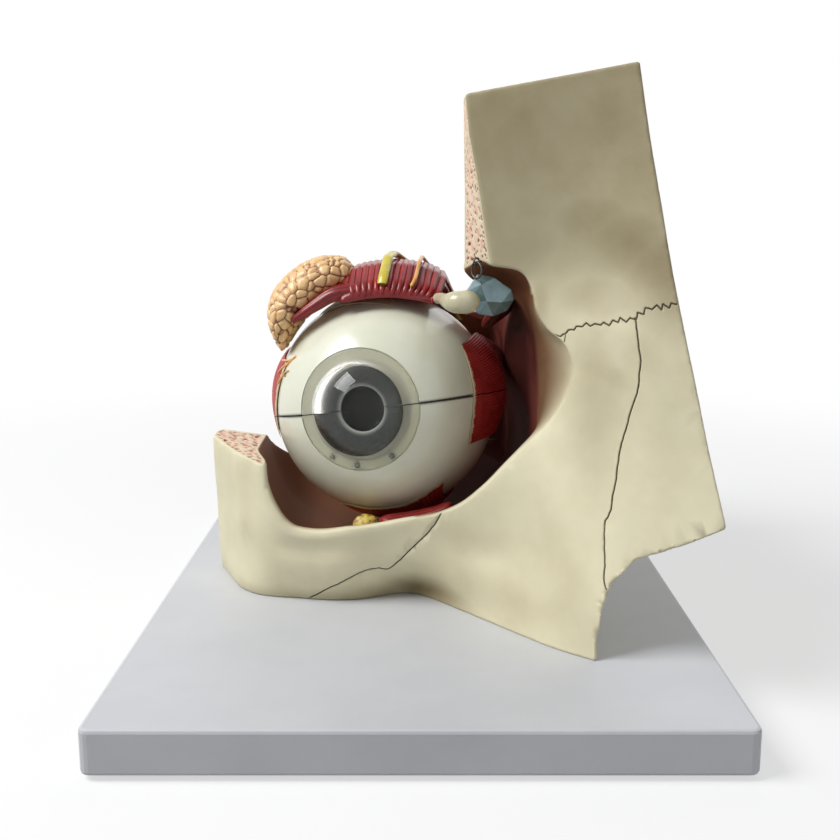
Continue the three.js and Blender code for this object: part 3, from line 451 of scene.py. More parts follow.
@dataclass(frozen=True)
class GlandFinish(Finish):
    """Tan lobules with red-brown joints between them."""

    joint: Triple = linear(118, 56, 32)

    def wire(self, graph: Graph) -> None:
        """Joins the nodes of the gland.

        Args:
            graph: The material's nodes.
        """
        lumps, fine = graph.noise(self.lump, 3.0), graph.noise(self.grain, 3.0)
        colour = graph.mix(lumps.ramp(0.3, 0.75), self.shade, self.second)
        gap = 1 - (graph.attribute("pillow") + (fine - 0.5) * 0.3).ramp(0.04, 0.5)
        graph.surface(
            Base_Color=graph.mix(gap, colour, self.joint),
            Roughness=fine * 0.2 + (self.roughness - 0.08) + gap * 0.2,
            Normal=graph.bump(fine, 0.5, self.grain_depth),
        )


@dataclass(frozen=True)
class GlassFinish(Finish):
    """Clear moulded plastic."""

    clearness: float = 1.0
    index: float = 1.49

    def wire(self, graph: Graph) -> None:
        """Joins the nodes of a clear piece.

        Args:
            graph: The material's nodes.
        """
        fine = graph.noise(self.grain, 2.0)
        graph.surface(
            Base_Color=graph.mix(fine, self.shade, self.second),
            Roughness=fine * 0.03 + self.roughness,
            Transmission_Weight=self.clearness,
            IOR=self.index,
            Normal=graph.bump(fine, 0.3, self.grain_depth),
        )


@dataclass(frozen=True)
class IrisFinish(Finish):
    """Dark iris with fine fibres round the gaze axis and a pale ring at the pupil, a painted highlight on its
    edge.
    """

    # Painted highlight of the pupil's edge.
    rim: Triple = linear(158, 157, 150)

    def wire(self, graph: Graph) -> None:
        """Joins the nodes of the iris.

        Args:
            graph: The material's nodes.
        """
        turned = graph.node(
            "ShaderNodeCombineXYZ", None, X=graph.attribute("turn") * 16.0, Y=graph.attribute("reach") * 0.5
        )
        made = graph.node("ShaderNodeTexNoise", None, Vector=turned.outputs[0], Scale=1.6, Detail=4.0)
        fibre = Number(graph, made.outputs[0])
        colour = graph.mix(fibre.ramp(0.3, 0.7), self.shade, self.second)
        graph.surface(
            # Painted highlight as a pale ring at the pupil's edge.
            Base_Color=graph.mix(graph.attribute("ring"), colour, self.rim),
            Roughness=fibre * 0.2 + self.roughness,
            Normal=graph.bump(fibre, 0.5, self.grain_depth),
        )


@dataclass(frozen=True)
class MetalFinish(Finish):
    """Bare steel with fine marks."""

    def wire(self, graph: Graph) -> None:
        """Joins the nodes of the metal.

        Args:
            graph: The material's nodes.
        """
        fine = graph.noise(self.grain, 3.0)
        graph.surface(
            Base_Color=graph.mix(fine.ramp(0.3, 0.7), self.shade, self.second),
            Metallic=1.0,
            Roughness=fine * 0.2 + self.roughness,
            Normal=graph.bump(fine, 0.4, self.grain_depth),
        )


# Name, two shades, roughness, size of lumps, size and depth of grain in millimetres, coat
BOARD = Finish("board_laminate", linear(206, 208, 212), linear(200, 202, 207), 0.42, 40.0, 0.5, 0.03)
PAD = Finish("pad_rubber", linear(44, 44, 46), linear(52, 52, 53), 0.8, 6.0, 0.5, 0.05)
BONE = BoneFinish("bone_resin", linear(231, 224, 192), linear(221, 213, 180), 0.42, 16.0, 0.7, 0.03)
IVORY = BallFinish("ball_ivory", linear(230, 231, 212), linear(224, 225, 203), 0.24, 14.0, 0.8, 0.01, 0.3)
RED = MuscleFinish("muscle_red", linear(156, 30, 32), linear(124, 18, 22), 0.28, 7.0, 0.4, 0.03, 0.25)
BAND_RED = MuscleFinish("muscle_band_red", linear(186, 58, 54), linear(158, 40, 38), 0.46, 5.0, 0.4, 0.04)
TENDON = Finish("tendon_ivory", linear(212, 206, 176), linear(194, 187, 152), 0.3, 6.0, 0.6, 0.015, 0.2)
GLAND = GlandFinish("gland_tan", linear(246, 206, 150), linear(228, 180, 120), 0.28, 5.0, 0.5, 0.03)
NERVE = Finish("nerve_yellow_green", linear(216, 198, 66), linear(196, 178, 46), 0.3, 5.0, 0.5, 0.02, 0.3)
NERVE_END = Finish("nerve_cut_end", linear(122, 128, 22), linear(96, 100, 16), 0.35, 1.0, 0.3, 0.05)
THIN = Finish("thin_nerve_orange", linear(226, 170, 84), linear(214, 152, 66), 0.32, 4.0, 0.4, 0.02, 0.3)
PULLEY = Finish("pulley_blue_grey", linear(124, 152, 158), linear(104, 132, 138), 0.3, 5.0, 0.5, 0.02, 0.3)
# Shaded copy of the pulley's finish: painted shade on some of its facets.
PULLEY_SHADED = Finish("pulley_dark_facet", linear(84, 106, 108), linear(72, 92, 92), 0.3, 5.0, 0.5, 0.02, 0.3)
OPTIC = Finish("optic_nerve_yellow", linear(222, 204, 110), linear(206, 182, 84), 0.35, 4.0, 0.4, 0.03, 0.2)
FLOOR_NERVE = Finish("floor_nerve_yellow", linear(228, 202, 96), linear(122, 84, 38), 0.45, 1.7, 0.4, 0.05)
REAR_RED = MuscleFinish(
    "muscle_rear_red", linear(134, 26, 28), linear(104, 16, 20), 0.62, 7.0, 0.5, 0.03, 0.0, 0.7
)
CHOROID = MuscleFinish("choroid_brown", linear(84, 36, 26), linear(56, 22, 18), 0.5, 6.0, 0.6, 0.03)
STEEL = MetalFinish("steel", linear(196, 198, 202), linear(170, 172, 176), 0.25, 3.0, 0.3, 0.01)
WIRE = MetalFinish("wire_dark", linear(96, 98, 96), linear(60, 62, 60), 0.3, 2.0, 0.3, 0.01)
IRIS = IrisFinish("iris_dark", linear(64, 63, 61), linear(34, 34, 34), 0.6, grain_depth=0.07)
PIN = Finish("pin_grey", linear(132, 130, 120), linear(104, 102, 94), 0.35, 1.0, 0.3, 0.02)
CLEAR = GlassFinish(
    "cornea_clear", linear(246, 248, 247), linear(240, 244, 242), 0.0, 9.0, 3.0, 0.004, 0.0, 1.0, 1.22
)
FROST = GlassFinish(
    "cornea_flange", linear(234, 233, 218), linear(222, 221, 204), 0.28, 9.0, 1.0, 0.02, 0.0, 0.7, 1.25
)
LENS = GlassFinish(
    "lens_clear", linear(236, 240, 232), linear(230, 235, 226), 0.01, 9.0, 3.0, 0.004, 0.0, 1.0, 1.16
)
JELLY = GlassFinish(
    "vitreous_clear", linear(228, 238, 236), linear(222, 234, 231), 0.02, 9.0, 3.0, 0.004, 0.0, 1.0, 1.2
)

_made: dict[str, bpy.types.Material] = {}


def material_of(finish: Finish) -> bpy.types.Material:
    """Returns a finish's material, made once.

    Args:
        finish: The finish.

    Returns:
        Its material.
    """
    if finish.name not in _made:
        _made[finish.name] = finish.make()
    return _made[finish.name]


# Meshes


def mesh_object(
    name: str,
    points: np.ndarray,
    faces: Iterable[Sequence[int]],
    finishes: Sequence[Finish],
    attributes: dict[str, np.ndarray] | None = None,
) -> Piece:
    """Makes a smooth mesh object at the origin.

    Args:
        name: The piece's name.
        points: Corners in millimetres.
        faces: Corner numbers of each face.
        finishes: One finish for each material slot.
        attributes: Numbers kept at the points.

    Returns:
        The linked object.
    """
    mesh = bpy.data.meshes.new(name)
    mesh.from_pydata((np.asarray(points, float) * METRES).tolist(), [], [list(map(int, f)) for f in faces])
    for finish in finishes:
        mesh.materials.append(material_of(finish))
    for key, values in (attributes or {}).items():
        kept = mesh.attributes.new(key, "FLOAT", "POINT")
        kept.data.foreach_set("value", np.asarray(values, np.float32))
    mesh.validate()
    mesh.shade_smooth()
    made = bpy.data.objects.new(name, mesh)
    bpy.context.scene.collection.objects.link(made)
    return made


def bevelled(piece: Piece, width: float, segments: int = 2, angle: float = 40.0) -> Piece:
    """Rounds the piece's sharp edges by a width in millimetres.

    Args:
        piece: The object.
        width: Width of the rounding.
        segments: Faces across it.
        angle: Least angle in degrees of an edge that is rounded.

    Returns:
        The same object.
    """
    bevel = piece.modifiers.new("rounded_edges", "BEVEL")
    bevel.width = width * METRES
    bevel.segments = segments
    bevel.limit_method = "ANGLE"
    bevel.angle_limit = math.radians(angle)
    bevel.harden_normals = True
    return piece


def plain(piece: Piece) -> Piece:
    """Applies the piece's modifiers and leaves a plain mesh.

    Args:
        piece: The object.

    Returns:
        The same object.
    """
    bpy.context.view_layer.update()
    graph = bpy.context.evaluated_depsgraph_get()
    mesh = bpy.data.meshes.new_from_object(piece.evaluated_get(graph))
    piece.modifiers.clear()
    piece.data = mesh
    return piece


def carve(piece: Piece, tools: Sequence[Piece]) -> None:
    """Cuts a piece with closed tools, which are then removed.

    Args:
        piece: The object that is cut.
        tools: The closed objects that cut it.
    """
    for tool in tools:
        knife = piece.modifiers.new("cut", "BOOLEAN")
        knife.operation = "DIFFERENCE"
        knife.solver = "MANIFOLD"
        knife.object = tool
        tool.hide_render = True
        plain(piece)
        bpy.data.objects.remove(tool)


def loft(rings: np.ndarray) -> tuple[np.ndarray, list[list[int]]]:
    """Joins rings of points into a tube with a face at each end.

    Args:
        rings: Array of (ring, point, 3).

    Returns:
        Its points and faces.
    """
    count, sides = rings.shape[:2]
    ids = np.arange(count * sides).reshape(count, sides)
    after = np.roll(ids, -1, axis=1)
    quads = np.stack([ids[:-1], after[:-1], after[1:], ids[1:]], axis=-1).reshape(-1, 4)
    return rings.reshape(-1, 3), [*quads.tolist(), ids[0][::-1].tolist(), ids[-1].tolist()]


def outward(piece: Piece) -> Piece:
    """Merges doubles and turns all faces outward.

    Args:
        piece: A closed mesh object.

    Returns:
        The same object.
    """
    work = bmesh.new()
    work.from_mesh(piece.data)
    bmesh.ops.remove_doubles(work, verts=work.verts, dist=1e-6)
    bmesh.ops.recalc_face_normals(work, faces=work.faces)
    work.to_mesh(piece.data)
    work.free()
    return piece


def curve_points(points: Sequence[Triple], count: int) -> np.ndarray:
    """Returns evenly spaced points of a smooth curve through a few points.

    Args:
        points: The points that it passes.
        count: Number of points wanted.

    Returns:
        Array of (count, 3).
    """
    given = np.asarray(points, float)
    padded = np.vstack([2 * given[0] - given[1], given, 2 * given[-1] - given[-2]])
    fine = []
    for k in range(1, len(padded) - 2):
        a, b, c, d = padded[k - 1 : k + 3]
        for t in np.linspace(0, 1, 24, endpoint=False):
            fine.append(
                0.5
                * (2 * b + (c - a) * t + (2 * a - 5 * b + 4 * c - d) * t**2 + (3 * b - a - 3 * c + d) * t**3)
            )
    line = np.array([*fine, given[-1]])
    run = np.concatenate([[0], np.cumsum(np.linalg.norm(np.diff(line, axis=0), axis=1))])
    at = np.linspace(0, run[-1], count)
    return np.stack([np.interp(at, run, line[:, k]) for k in range(3)], axis=1)


def tube_rings(
    points: Sequence[Triple],
    radii: Sequence[float],
    steps: int,
    sides: int,
    flats: Sequence[float] = (1.0, 1.0),
    rounding: float = 1.0,
) -> np.ndarray:
    """Returns the rings of a round or flattened rod along a smooth curve.

    Args:
        points: Points that the curve passes.
        radii: Radii at even places along it.
        steps: Number of rings.
        sides: Points of each ring.
        flats: Height over width at even places along it.
        rounding: How far the ends are rounded, as a share of the radius.

    Returns:
        Array of (ring, point, 3).
    """
    line = curve_points(points, steps)
    ahead = np.gradient(line, axis=0)
    ahead /= np.linalg.norm(ahead, axis=1, keepdims=True)
    level = np.cross([0, 0, 1.0], ahead)
    level /= np.linalg.norm(level, axis=1, keepdims=True)
    upward = np.cross(ahead, level)
    share = np.linspace(0, 1, steps)
    radius = np.interp(share, np.linspace(0, 1, len(radii)), radii)
    flat = np.interp(share, np.linspace(0, 1, len(flats)), flats)
    run = np.linalg.norm(line[-1] - line[0])
    end = np.minimum(share, 1 - share) * run
    near = np.clip(end / (radius * rounding), 0, 1)
    cap = np.sqrt(np.clip(1 - (1 - near) ** 2, 0.02, 1))
    radius = radius * (1 - rounding + rounding * cap)
    turn = np.linspace(0, 2 * math.pi, sides, endpoint=False)
    return (
        line[:, None]
        + level[:, None] * (radius[:, None] * np.cos(turn))[..., None]
        + upward[:, None] * ((radius * flat)[:, None] * np.sin(turn))[..., None]
    )


def in_eye(points: np.ndarray) -> np.ndarray:
    """Moves points from the ball's own frame into the CAD's frame."""
    return points @ EYE_TURN.T + EYE


def finish_piece(piece: Piece, *nodes: str, beside: str = "") -> Piece:
    """Makes a piece ride on its body and stand for CAD nodes, and reports it.

    Args:
        piece: The finished object.
        *nodes: The CAD nodes that it stands for.
        beside: A CAD node that it rides with, where it stands for none.

    Returns:
        The same object.
    """
    body = NODE_BODY[nodes[0] if nodes else beside]
    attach(piece, body.value)
    if nodes:
        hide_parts(*nodes)
    LOG.info("%s on %s, %d faces", piece.name, body.value, len(piece.data.polygons))
    return piece


# Node trees that repeat a form


class Trees:
    """Geometry Nodes trees, each built once with named inputs."""

    _kept: dict[str, bpy.types.GeometryNodeTree] = {}

    @staticmethod
    def _start(name: str, inputs: dict[str, float | int | None]) -> tuple[Nodes, bpy.types.NodeOutputs]:
        """Begins a tree with a geometry input and output and named inputs.

        Args:
            name: The tree's name.
            inputs: Each input's first value, or None where it takes a material.

        Returns:
            The tree's nodes, and the sockets that its inputs come from.
        """
        kinds = {float: "NodeSocketFloat", int: "NodeSocketInt", type(None): "NodeSocketMaterial"}
        tree = bpy.data.node_groups.new(name, "GeometryNodeTree")
        for way in ("INPUT", "OUTPUT"):
            tree.interface.new_socket(name="Geometry", in_out=way, socket_type="NodeSocketGeometry")
        for label, value in inputs.items():
            socket = tree.interface.new_socket(name=label, in_out="INPUT", socket_type=kinds[type(value)])
            if value is not None:
                socket.default_value = value
        return Nodes(tree), tree.nodes.new("NodeGroupInput").outputs

    @staticmethod
    def _end(nodes: Nodes, shape: Socket, finish: Socket) -> bpy.types.GeometryNodeTree:
        """Ends a tree with real geometry that wears its material.

        Args:
            nodes: The tree's nodes.
            shape: The socket of the finished geometry.
            finish: The socket of the material.

        Returns:
            The tree.
        """
        real = nodes.node("GeometryNodeRealizeInstances", None, Geometry=shape)
        dressed = nodes.node("GeometryNodeSetMaterial", None, Geometry=real.outputs[0], Material=finish)
        nodes.node("NodeGroupOutput", None, Geometry=dressed.outputs[0])
        return nodes.tree

    @classmethod
    def strands(cls) -> bpy.types.GeometryNodeTree:
        """Builds once the tree that turns edge lines into rounded strands.

        Returns:
            The tree, with the inputs Radius, End Taper, Sides and Finish.
        """
        if "strands" in cls._kept:
            return cls._kept["strands"]
        nodes, given = cls._start("strands", {"Radius": 0.001, "End Taper": 0.35, "Sides": 8, "Finish": None})
        curves = nodes.node("GeometryNodeMeshToCurve", None, Mesh=given["Geometry"])
        along = nodes.node("GeometryNodeSplineParameter").outputs["Factor"]
        from_end = nodes.node("ShaderNodeMath", {"operation": "PINGPONG"}, i0=along, i1=0.5)
        taper = nodes.node(
            "ShaderNodeMapRange", {"interpolation_type": "SMOOTHERSTEP"},
            Value=from_end.outputs[0], From_Min=-0.02, From_Max=0.08, To_Min=given["End Taper"],
        )
        sized = nodes.node(
            "GeometryNodeSetCurveRadius", None, Curve=curves.outputs[0], Radius=taper.outputs[0]
        )
        ring = nodes.node(
            "GeometryNodeCurvePrimitiveCircle", None, Resolution=given["Sides"], Radius=given["Radius"]
        )
        tube = nodes.node(
            "GeometryNodeCurveToMesh", None,
            Curve=sized.outputs[0], Profile_Curve=ring.outputs[0], Fill_Caps=True,
        )
        if "Scale" in tube.inputs:
            nodes.feed(tube.inputs["Scale"], nodes.node("GeometryNodeInputRadius").outputs[0])
        cls._kept["strands"] = cls._end(nodes, tube.outputs[0], given["Finish"])
        return cls._kept["strands"]

    @classmethod
    def pillows(cls) -> bpy.types.GeometryNodeTree:
        """Builds the tree that raises small lobules over a surface.

        Returns:
            The tree, with the inputs Lobules per Metre, Groove Depth, Groove Width and Finish.
        """
        nodes, given = cls._start(
            "pillows",
            {"Lobules per Metre": 240.0, "Groove Depth": 0.0008, "Groove Width": 0.3, "Finish": None},
        )
        place = nodes.node("GeometryNodeInputPosition").outputs[0]
        edges = nodes.node(
            "ShaderNodeTexVoronoi", {"feature": "DISTANCE_TO_EDGE"},
            Vector=place, Scale=given["Lobules per Metre"], Randomness=0.85,
        )
        share = nodes.node(
            "ShaderNodeMapRange", None, Value=edges.outputs["Distance"], From_Max=given["Groove Width"]
        ).outputs[0]
        sunk = (1.0 - Number(nodes, share)) ** 2.4 * given["Groove Depth"]
        normal = nodes.node("GeometryNodeInputNormal").outputs[0]
        offset = nodes.node("ShaderNodeVectorMath", {"operation": "SCALE"}, i0=normal, Scale=sunk * -1.0)
        stored = nodes.node(
            "GeometryNodeStoreNamedAttribute", {"data_type": "FLOAT", "domain": "POINT"},
            Geometry=given["Geometry"], Name="pillow", Value=share,
        )
        moved = nodes.node(
            "GeometryNodeSetPosition", None, Geometry=stored.outputs[0], Offset=offset.outputs[0]
        )
        return cls._end(nodes, moved.outputs[0], given["Finish"])

    @staticmethod
    def apply(piece: Piece, tree: bpy.types.GeometryNodeTree, **values: object) -> Piece:
        """Runs a tree on a piece with its named inputs, and keeps the plain mesh.

        Args:
            piece: The object that the tree works on.
            tree: The node tree.
            **values: Its inputs, spaces written as underscores.

        Returns:
            The same object with the result as its mesh.
        """
        modifier = piece.modifiers.new(tree.name, "NODES")
        modifier.node_group = tree
        for item in tree.interface.items_tree:
            key = item.name.replace(" ", "_")
            if item.in_out == "INPUT" and key in values:
                modifier[item.identifier] = values[key]
        plain(piece)
        piece.data.shade_smooth()
        return piece


def strands(
    name: str, lines: Sequence[np.ndarray], radius: float, finish: Finish, sides: int = 8, taper: float = 0.35
) -> Piece:
    """Makes rounded strands along lines of points in millimetres.

    Args:
        name: The piece's name.
        lines: The points of each strand.
        radius: Radius of a strand.
        finish: Its finish.
        sides: Sides of its section.
        taper: Share of the radius at its ends.

    Returns:
        The linked object.
    """
    points, edges, first = [], [], 0
    for line in lines:
        points.extend((np.asarray(line) * METRES).tolist())
        edges.extend((first + k, first + k + 1) for k in range(len(line) - 1))
        first += len(line)
    mesh = bpy.data.meshes.new(name)
    mesh.from_pydata(points, edges, [])
    piece = bpy.data.objects.new(name, mesh)
    bpy.context.scene.collection.objects.link(piece)
    return Trees.apply(
        piece, Trees.strands(),
        Radius=radius * METRES, End_Taper=taper, Sides=sides, Finish=material_of(finish),
    )


# Bone


@dataclass
class OrbitBone:
    """The cut bone: a smooth face through landmarks, cut by the orbit, the nose and the skull base.

    Outlines are pairs of (x, z), or of (x, y) for plan and side_cut. Each row of hollows and airbrush is a
    soft spot on the face: its x, z, two radii and amount; airbrush holds airbrushed dust and painted shade.
    tear_hollow gives the painted rim's depth at an angle in degrees round the orbit.
    """

    cell: float = 1.35
    kept_share: float = 0.33
    painted: float = 0.04
    edge_rounding: float = 0.9
    board_top: float = 14.5
    plate_thickness: float = 13.0
    nasal_shell: float = 7.0
    bone_back: float = 92.0
    canal: tuple[float, float, float] = (25.0, 86.0, 6.8)
    centre: tuple[float, float] = (-8.0, 82.0)
    stiffness: float = 40.0
    extent: Outline = ((-80, 98), (-99, 97), (11, 206))
    face_limit: float = -96.0
    rim_top: float = 150.0
    brow_floor: float = 131.0
    brow_back: float = -8.0
    nose_inner: float = 58.5
    nose_top: float = 106.0
    notch_back: float = -42.0
    plate_front: float = -36.5
    plate_reach: Triple = (-62.0, -8.0, 120.0)
    top_cut: Triple = (14.6, 184.4, 0.165)
    stub_point: Triple = (-62.0, -12.0, 64.8)
    stub_slope: Triple = (0.15, -0.02, 1.0)
    stub_reach: tuple[float, float] = (-20.0, 20.0)
    rear_point: Triple = (-60.0, 12.0, 64.8)
    rear_slope: Triple = (0.1, 0.5, 0.86)
    rear_reach: Triple = (-40.0, 0.0, 72.0)
    side_floor: float = 50.0
    apex_left: Triple = (4.0, 66.0, 62.0)
    apex_top: Triple = (38.0, 66.0, 106.0)
    under: tuple[Triple, Triple, float] = ((-42.0, 78.0, 4.0), (46.0, 50.0, 40.0), 44.0)
    nook: tuple[Triple, Triple, float] = ((22.0, -28.0, 122.0), (11.0, 7.0, 8.0), 8.0)
    groove_depth: float = 0.4
    pit_depth: float = 0.6
    landmarks: tuple[Triple, ...] = (
        (-74.7, 4.8, 14.5), (-64.5, -19.5, 14.5), (-44.2, -29.1, 14.5), (-19.8, -32.4, 14.5),
        (-3.9, -28.5, 14.5), (10.2, -41.3, 14.5), (26, -57.8, 14.5), (40.3, -74.5, 14.5),
        (53.2, -85.3, 14.5), (-73, -3, 42), (-72.1, -8, 66), (-62, -26, 42), (-63, -24, 64),
        (-52.7, -32, 63), (-51, -33, 52), (-37.5, -35.5, 40.8), (-15.3, -37.5, 43.5), (6.7, -41, 48.5),
        (19.5, -47, 58), (30.6, -50, 70.4), (41.7, -50.5, 81.9), (48.6, -50, 98), (46.2, -46.5, 106),
        (-30, -36.5, 28), (-2, -35.5, 30), (22, -46.5, 36), (38, -60, 40), (42, -72, 24), (60, -63, 100),
        (60, -68, 78), (56, -75, 55), (53.4, -84, 30), (64.4, -84, 46), (75.9, -88, 51), (79, -60, 121),
        (80, -66, 106), (84, -77, 80), (88.2, -90, 56.7), (22.5, -35, 130.4), (36, -36.5, 126),
        (41, -42.5, 112), (58, -47, 124), (40, -39, 142), (66, -49, 146), (17, -34.5, 160), (44, -40, 166),
        (70, -46, 168), (14.6, -34, 186), (40, -38, 190), (67, -43, 194),
    )
    mouth: Outline = (
        (48.6, 98), (46.3, 90), (41.7, 81.9), (35.4, 75.3), (30.6, 70.4), (25.9, 65.2), (19.5, 58),
        (13.2, 52.1), (6.6, 48.5), (-6.7, 45.2), (-23.7, 42.2), (-37.5, 40.8), (-43.8, 42.3), (-49.2, 49.1),
        (-51.9, 56.1), (-52.7, 64), (-53, 82), (-50, 112), (-30, 134), (0, 137), (22.5, 130.4),
        (32.6, 128.2), (35.9, 124.1), (37.9, 116), (41, 110.4), (46.2, 105.7),
    )
    room: Outline = (
        (39.2, 98), (39.4, 82), (39, 66), (34, 52), (25, 40), (9, 31.5), (-10, 29), (-30, 30.5), (-46, 37),
        (-55, 50), (-57.5, 64), (-58, 82), (-56, 108), (-40, 130), (-8, 131), (14, 125), (27, 121.5),
        (34.5, 116), (38, 108),
    )
    plan: Outline = (
        (-76, 6), (-71, 20), (-60, 33), (-48, 45), (-29, 62), (-10, 78), (0, 92), (120, 92), (120, -120),
        (-76, -120),
    )
    side_cut: Outline = (
        (-47, -20), (14.5, -21), (20, -14), (26.5, 2), (30, 20), (36, 40), (36, 72), (-47, 72),
    )
    midline: Outline = (
        (60.555, 240), (90.005, 50), (89.4, 40), (89.4, 0), (140, 0), (140, 240),
    )
    notch: Outline = (
        (53.2, 0), (53.2, 21), (54.7, 30.4), (57, 37.5), (64.4, 46), (75.9, 51), (88.2, 56.7), (110, 62),
        (110, 0),
    )
    plate_edge: tuple[Triple, ...] = (
        (25.6, 16.2, 120), (24, 16.2, 131), (21.3, 15.8, 146), (18.7, 15.3, 160), (15.9, 14.7, 172),
        (14.3, 14.3, 186), (14.3, 14.3, 210),
    )
    sutures: dict[str, list[tuple[float, float]]] = field(
        default_factory=lambda: {
            "cheek": [
                (7.4, 50), (6.7, 47.8), (4, 42.5), (-1.4, 36.2), (-6.2, 30.9), (-10.7, 26.4), (-14.5, 27),
                (-19.9, 25.8), (-27.5, 21.8), (-33.2, 18.4), (-40.3, 13.6),
            ],
            "nose": [
                (66.5, 115.2), (66.9, 109.7), (66.9, 102), (65.8, 94.1), (63.5, 85.8), (61.2, 77.7),
                (59.5, 68.3), (57.5, 58.7), (56, 54), (55.6, 46.2), (55.3, 38.8), (56.1, 34.8),
            ],
            "frontal": [
                (36, 109.4), (40.6, 109.3), (44.6, 108.3), (46.9, 109.7), (50.2, 111.5), (59.3, 113.6),
                (64.2, 114.5), (66.5, 115.2), (70.3, 117.7), (74.8, 118.8), (78.7, 120.1), (82, 121),
            ],
            "tear_bone": [(46.3, 108.7), (45.8, 104), (46.6, 97.8)],
        }
    )
    hollows: tuple[Row, ...] = (
        (0, 15.5, 19, 7, 4.4), (58, 96, 8, 14, 0.9),
    )
    tear_hollow: Outline = (
        (-180, 1.5), (-100, 1.5), (-66, 4), (-41, 8), (-17, 12), (0, 14), (16, 15), (30, 13), (36, 9),
        (41, 3), (46, 0.5), (180, 0.5),
    )
    # Airbrushed dust and painted shade: the spots high on the plate are partly painted shade, the low ones
    # paint the shadow of the cheek's hollow and of its foot on the board.
    airbrush: tuple[Row, ...] = (
        (36, 178, 30, 18, 0.22), (54, 146, 19, 13, 0.5), (66, 138, 18, 15, 0.58), (78, 129, 17, 17, 0.66),
        (24, 140, 9, 14, 0.25), (39, 119, 4, 9, 0.4), (2, 17.5, 15, 6.5, 0.9), (-18, 15, 17, 5, 0.55),
        (57, 121, 15, 9, 0.42), (-30, 15, 50, 3.5, 0.45), (25, 24, 26, 8, 0.3), (56, 100, 9, 16, 0.42),
        (62, 106, 12, 8, 0.3), (-61, 46, 3, 14, 0.15), (20, 40, 12, 6, 0.2), (54, 84, 8, 20, 0.36),
        (44, 34, 12, 16, 0.16),
    )

    def __post_init__(self) -> None:
        """Solves the face surface and tables the depth of the orbit's rim."""
        marks = np.array(self.landmarks, float)
        self._knots = marks[:, [0, 2]]
        count = len(marks)
        square = ((self._knots[:, None] - self._knots[None]) ** 2).sum(-1)
        system = np.zeros((count + 3, count + 3))
        system[:count, :count] = self._kernel(square) + self.stiffness * np.eye(count)
        system[:count, count] = 1
        system[:count, count + 1 :] = self._knots
        system[count, :count] = 1
        system[count + 1 :, :count] = self._knots.T
        self._weights = np.linalg.solve(system, np.concatenate([marks[:, 1], [0, 0, 0]]))
        turns = np.linspace(-math.pi, math.pi, 721)
        reach = self._radius(self.mouth, turns)
        at_z = np.minimum(self.centre[1] + reach * np.sin(turns), self.rim_top)
        self._rim_table = (turns, self.face(self.centre[0] + reach * np.cos(turns), at_z))

    @staticmethod
    def _kernel(square: np.ndarray) -> np.ndarray:
        """Returns the thin plate's kernel of a squared distance."""
        return np.where(square > 0, square * np.log(np.maximum(square, 1e-12)), 0)

    def face(self, x: np.ndarray, z: np.ndarray) -> np.ndarray:
        """Returns y of the bone's front at (x, z).

        Args:
            x: Places across.
            z: Heights.

        Returns:
            The depth at each of them.
        """
        x, z = np.broadcast_arrays(x, z)
        last = len(self._knots)
        total = self._weights[last] + self._weights[last + 1] * x + self._weights[last + 2] * z
        for (px, pz), weight in zip(self._knots, self._weights[:last]):
            total = total + weight * self._kernel((x - px) ** 2 + (z - pz) ** 2)
        return np.maximum(total, self.face_limit)

    def _radius(self, outline: Outline, angle: np.ndarray) -> np.ndarray:
        """Returns the distance from the orbit's centre to an outline.

        Args:
            outline: Points that a smooth curve round the centre passes.
            angle: Angles round the centre.

        Returns:
            The distance at each angle.
        """
        cx, cz = self.centre
        knots = sorted((math.atan2(z - cz, x - cx), math.hypot(x - cx, z - cz)) for x, z in outline)
        turns = 2 * math.pi
        angles = np.array([a + lap for lap in (-turns, 0.0, turns) for a, _ in knots])
        values = np.array([r for _, r in knots] * 3)
        k = np.searchsorted(angles, angle, side="right")
        a0, a1, a2, a3 = (angles[k + i] for i in (-2, -1, 0, 1))
        r0, r1, r2, r3 = (values[k + i] for i in (-2, -1, 0, 1))
        span = a2 - a1
        t = (angle - a1) / span
        m1, m2 = (r2 - r0) / (a2 - a0) * span, (r3 - r1) / (a3 - a1) * span
        first = (2 * t**3 - 3 * t**2 + 1) * r1 + (t**3 - 2 * t**2 + t) * m1
        return first + (3 * t**2 - 2 * t**3) * r2 + (t**3 - t**2) * m2

    @staticmethod
    def _polygon(outline: Outline, u: np.ndarray, v: np.ndarray) -> np.ndarray:
        """Returns the signed distance to a closed outline, negative inside.

        Args:
            outline: Its corners.
            u: First coordinates.
            v: Second coordinates.

        Returns:
            The distance at each point.
        """
        u, v = np.broadcast_arrays(u, v)
        best = np.full(u.shape, 1e9)
        inside = np.zeros(u.shape, bool)
        for (ax, ay), (bx, by) in zip(outline, [*outline[1:], outline[0]]):
            ex, ey = bx - ax, by - ay
            t = np.clip(((u - ax) * ex + (v - ay) * ey) / (ex * ex + ey * ey), 0, 1)
            best = np.minimum(best, (u - ax - t * ex) ** 2 + (v - ay - t * ey) ** 2)
            if by != ay:
                crosses = ((ay > v) != (by > v)) & (u < ex * (v - ay) / (by - ay) + ax)
                inside ^= crosses
        return np.where(inside, -1, 1) * np.sqrt(best)

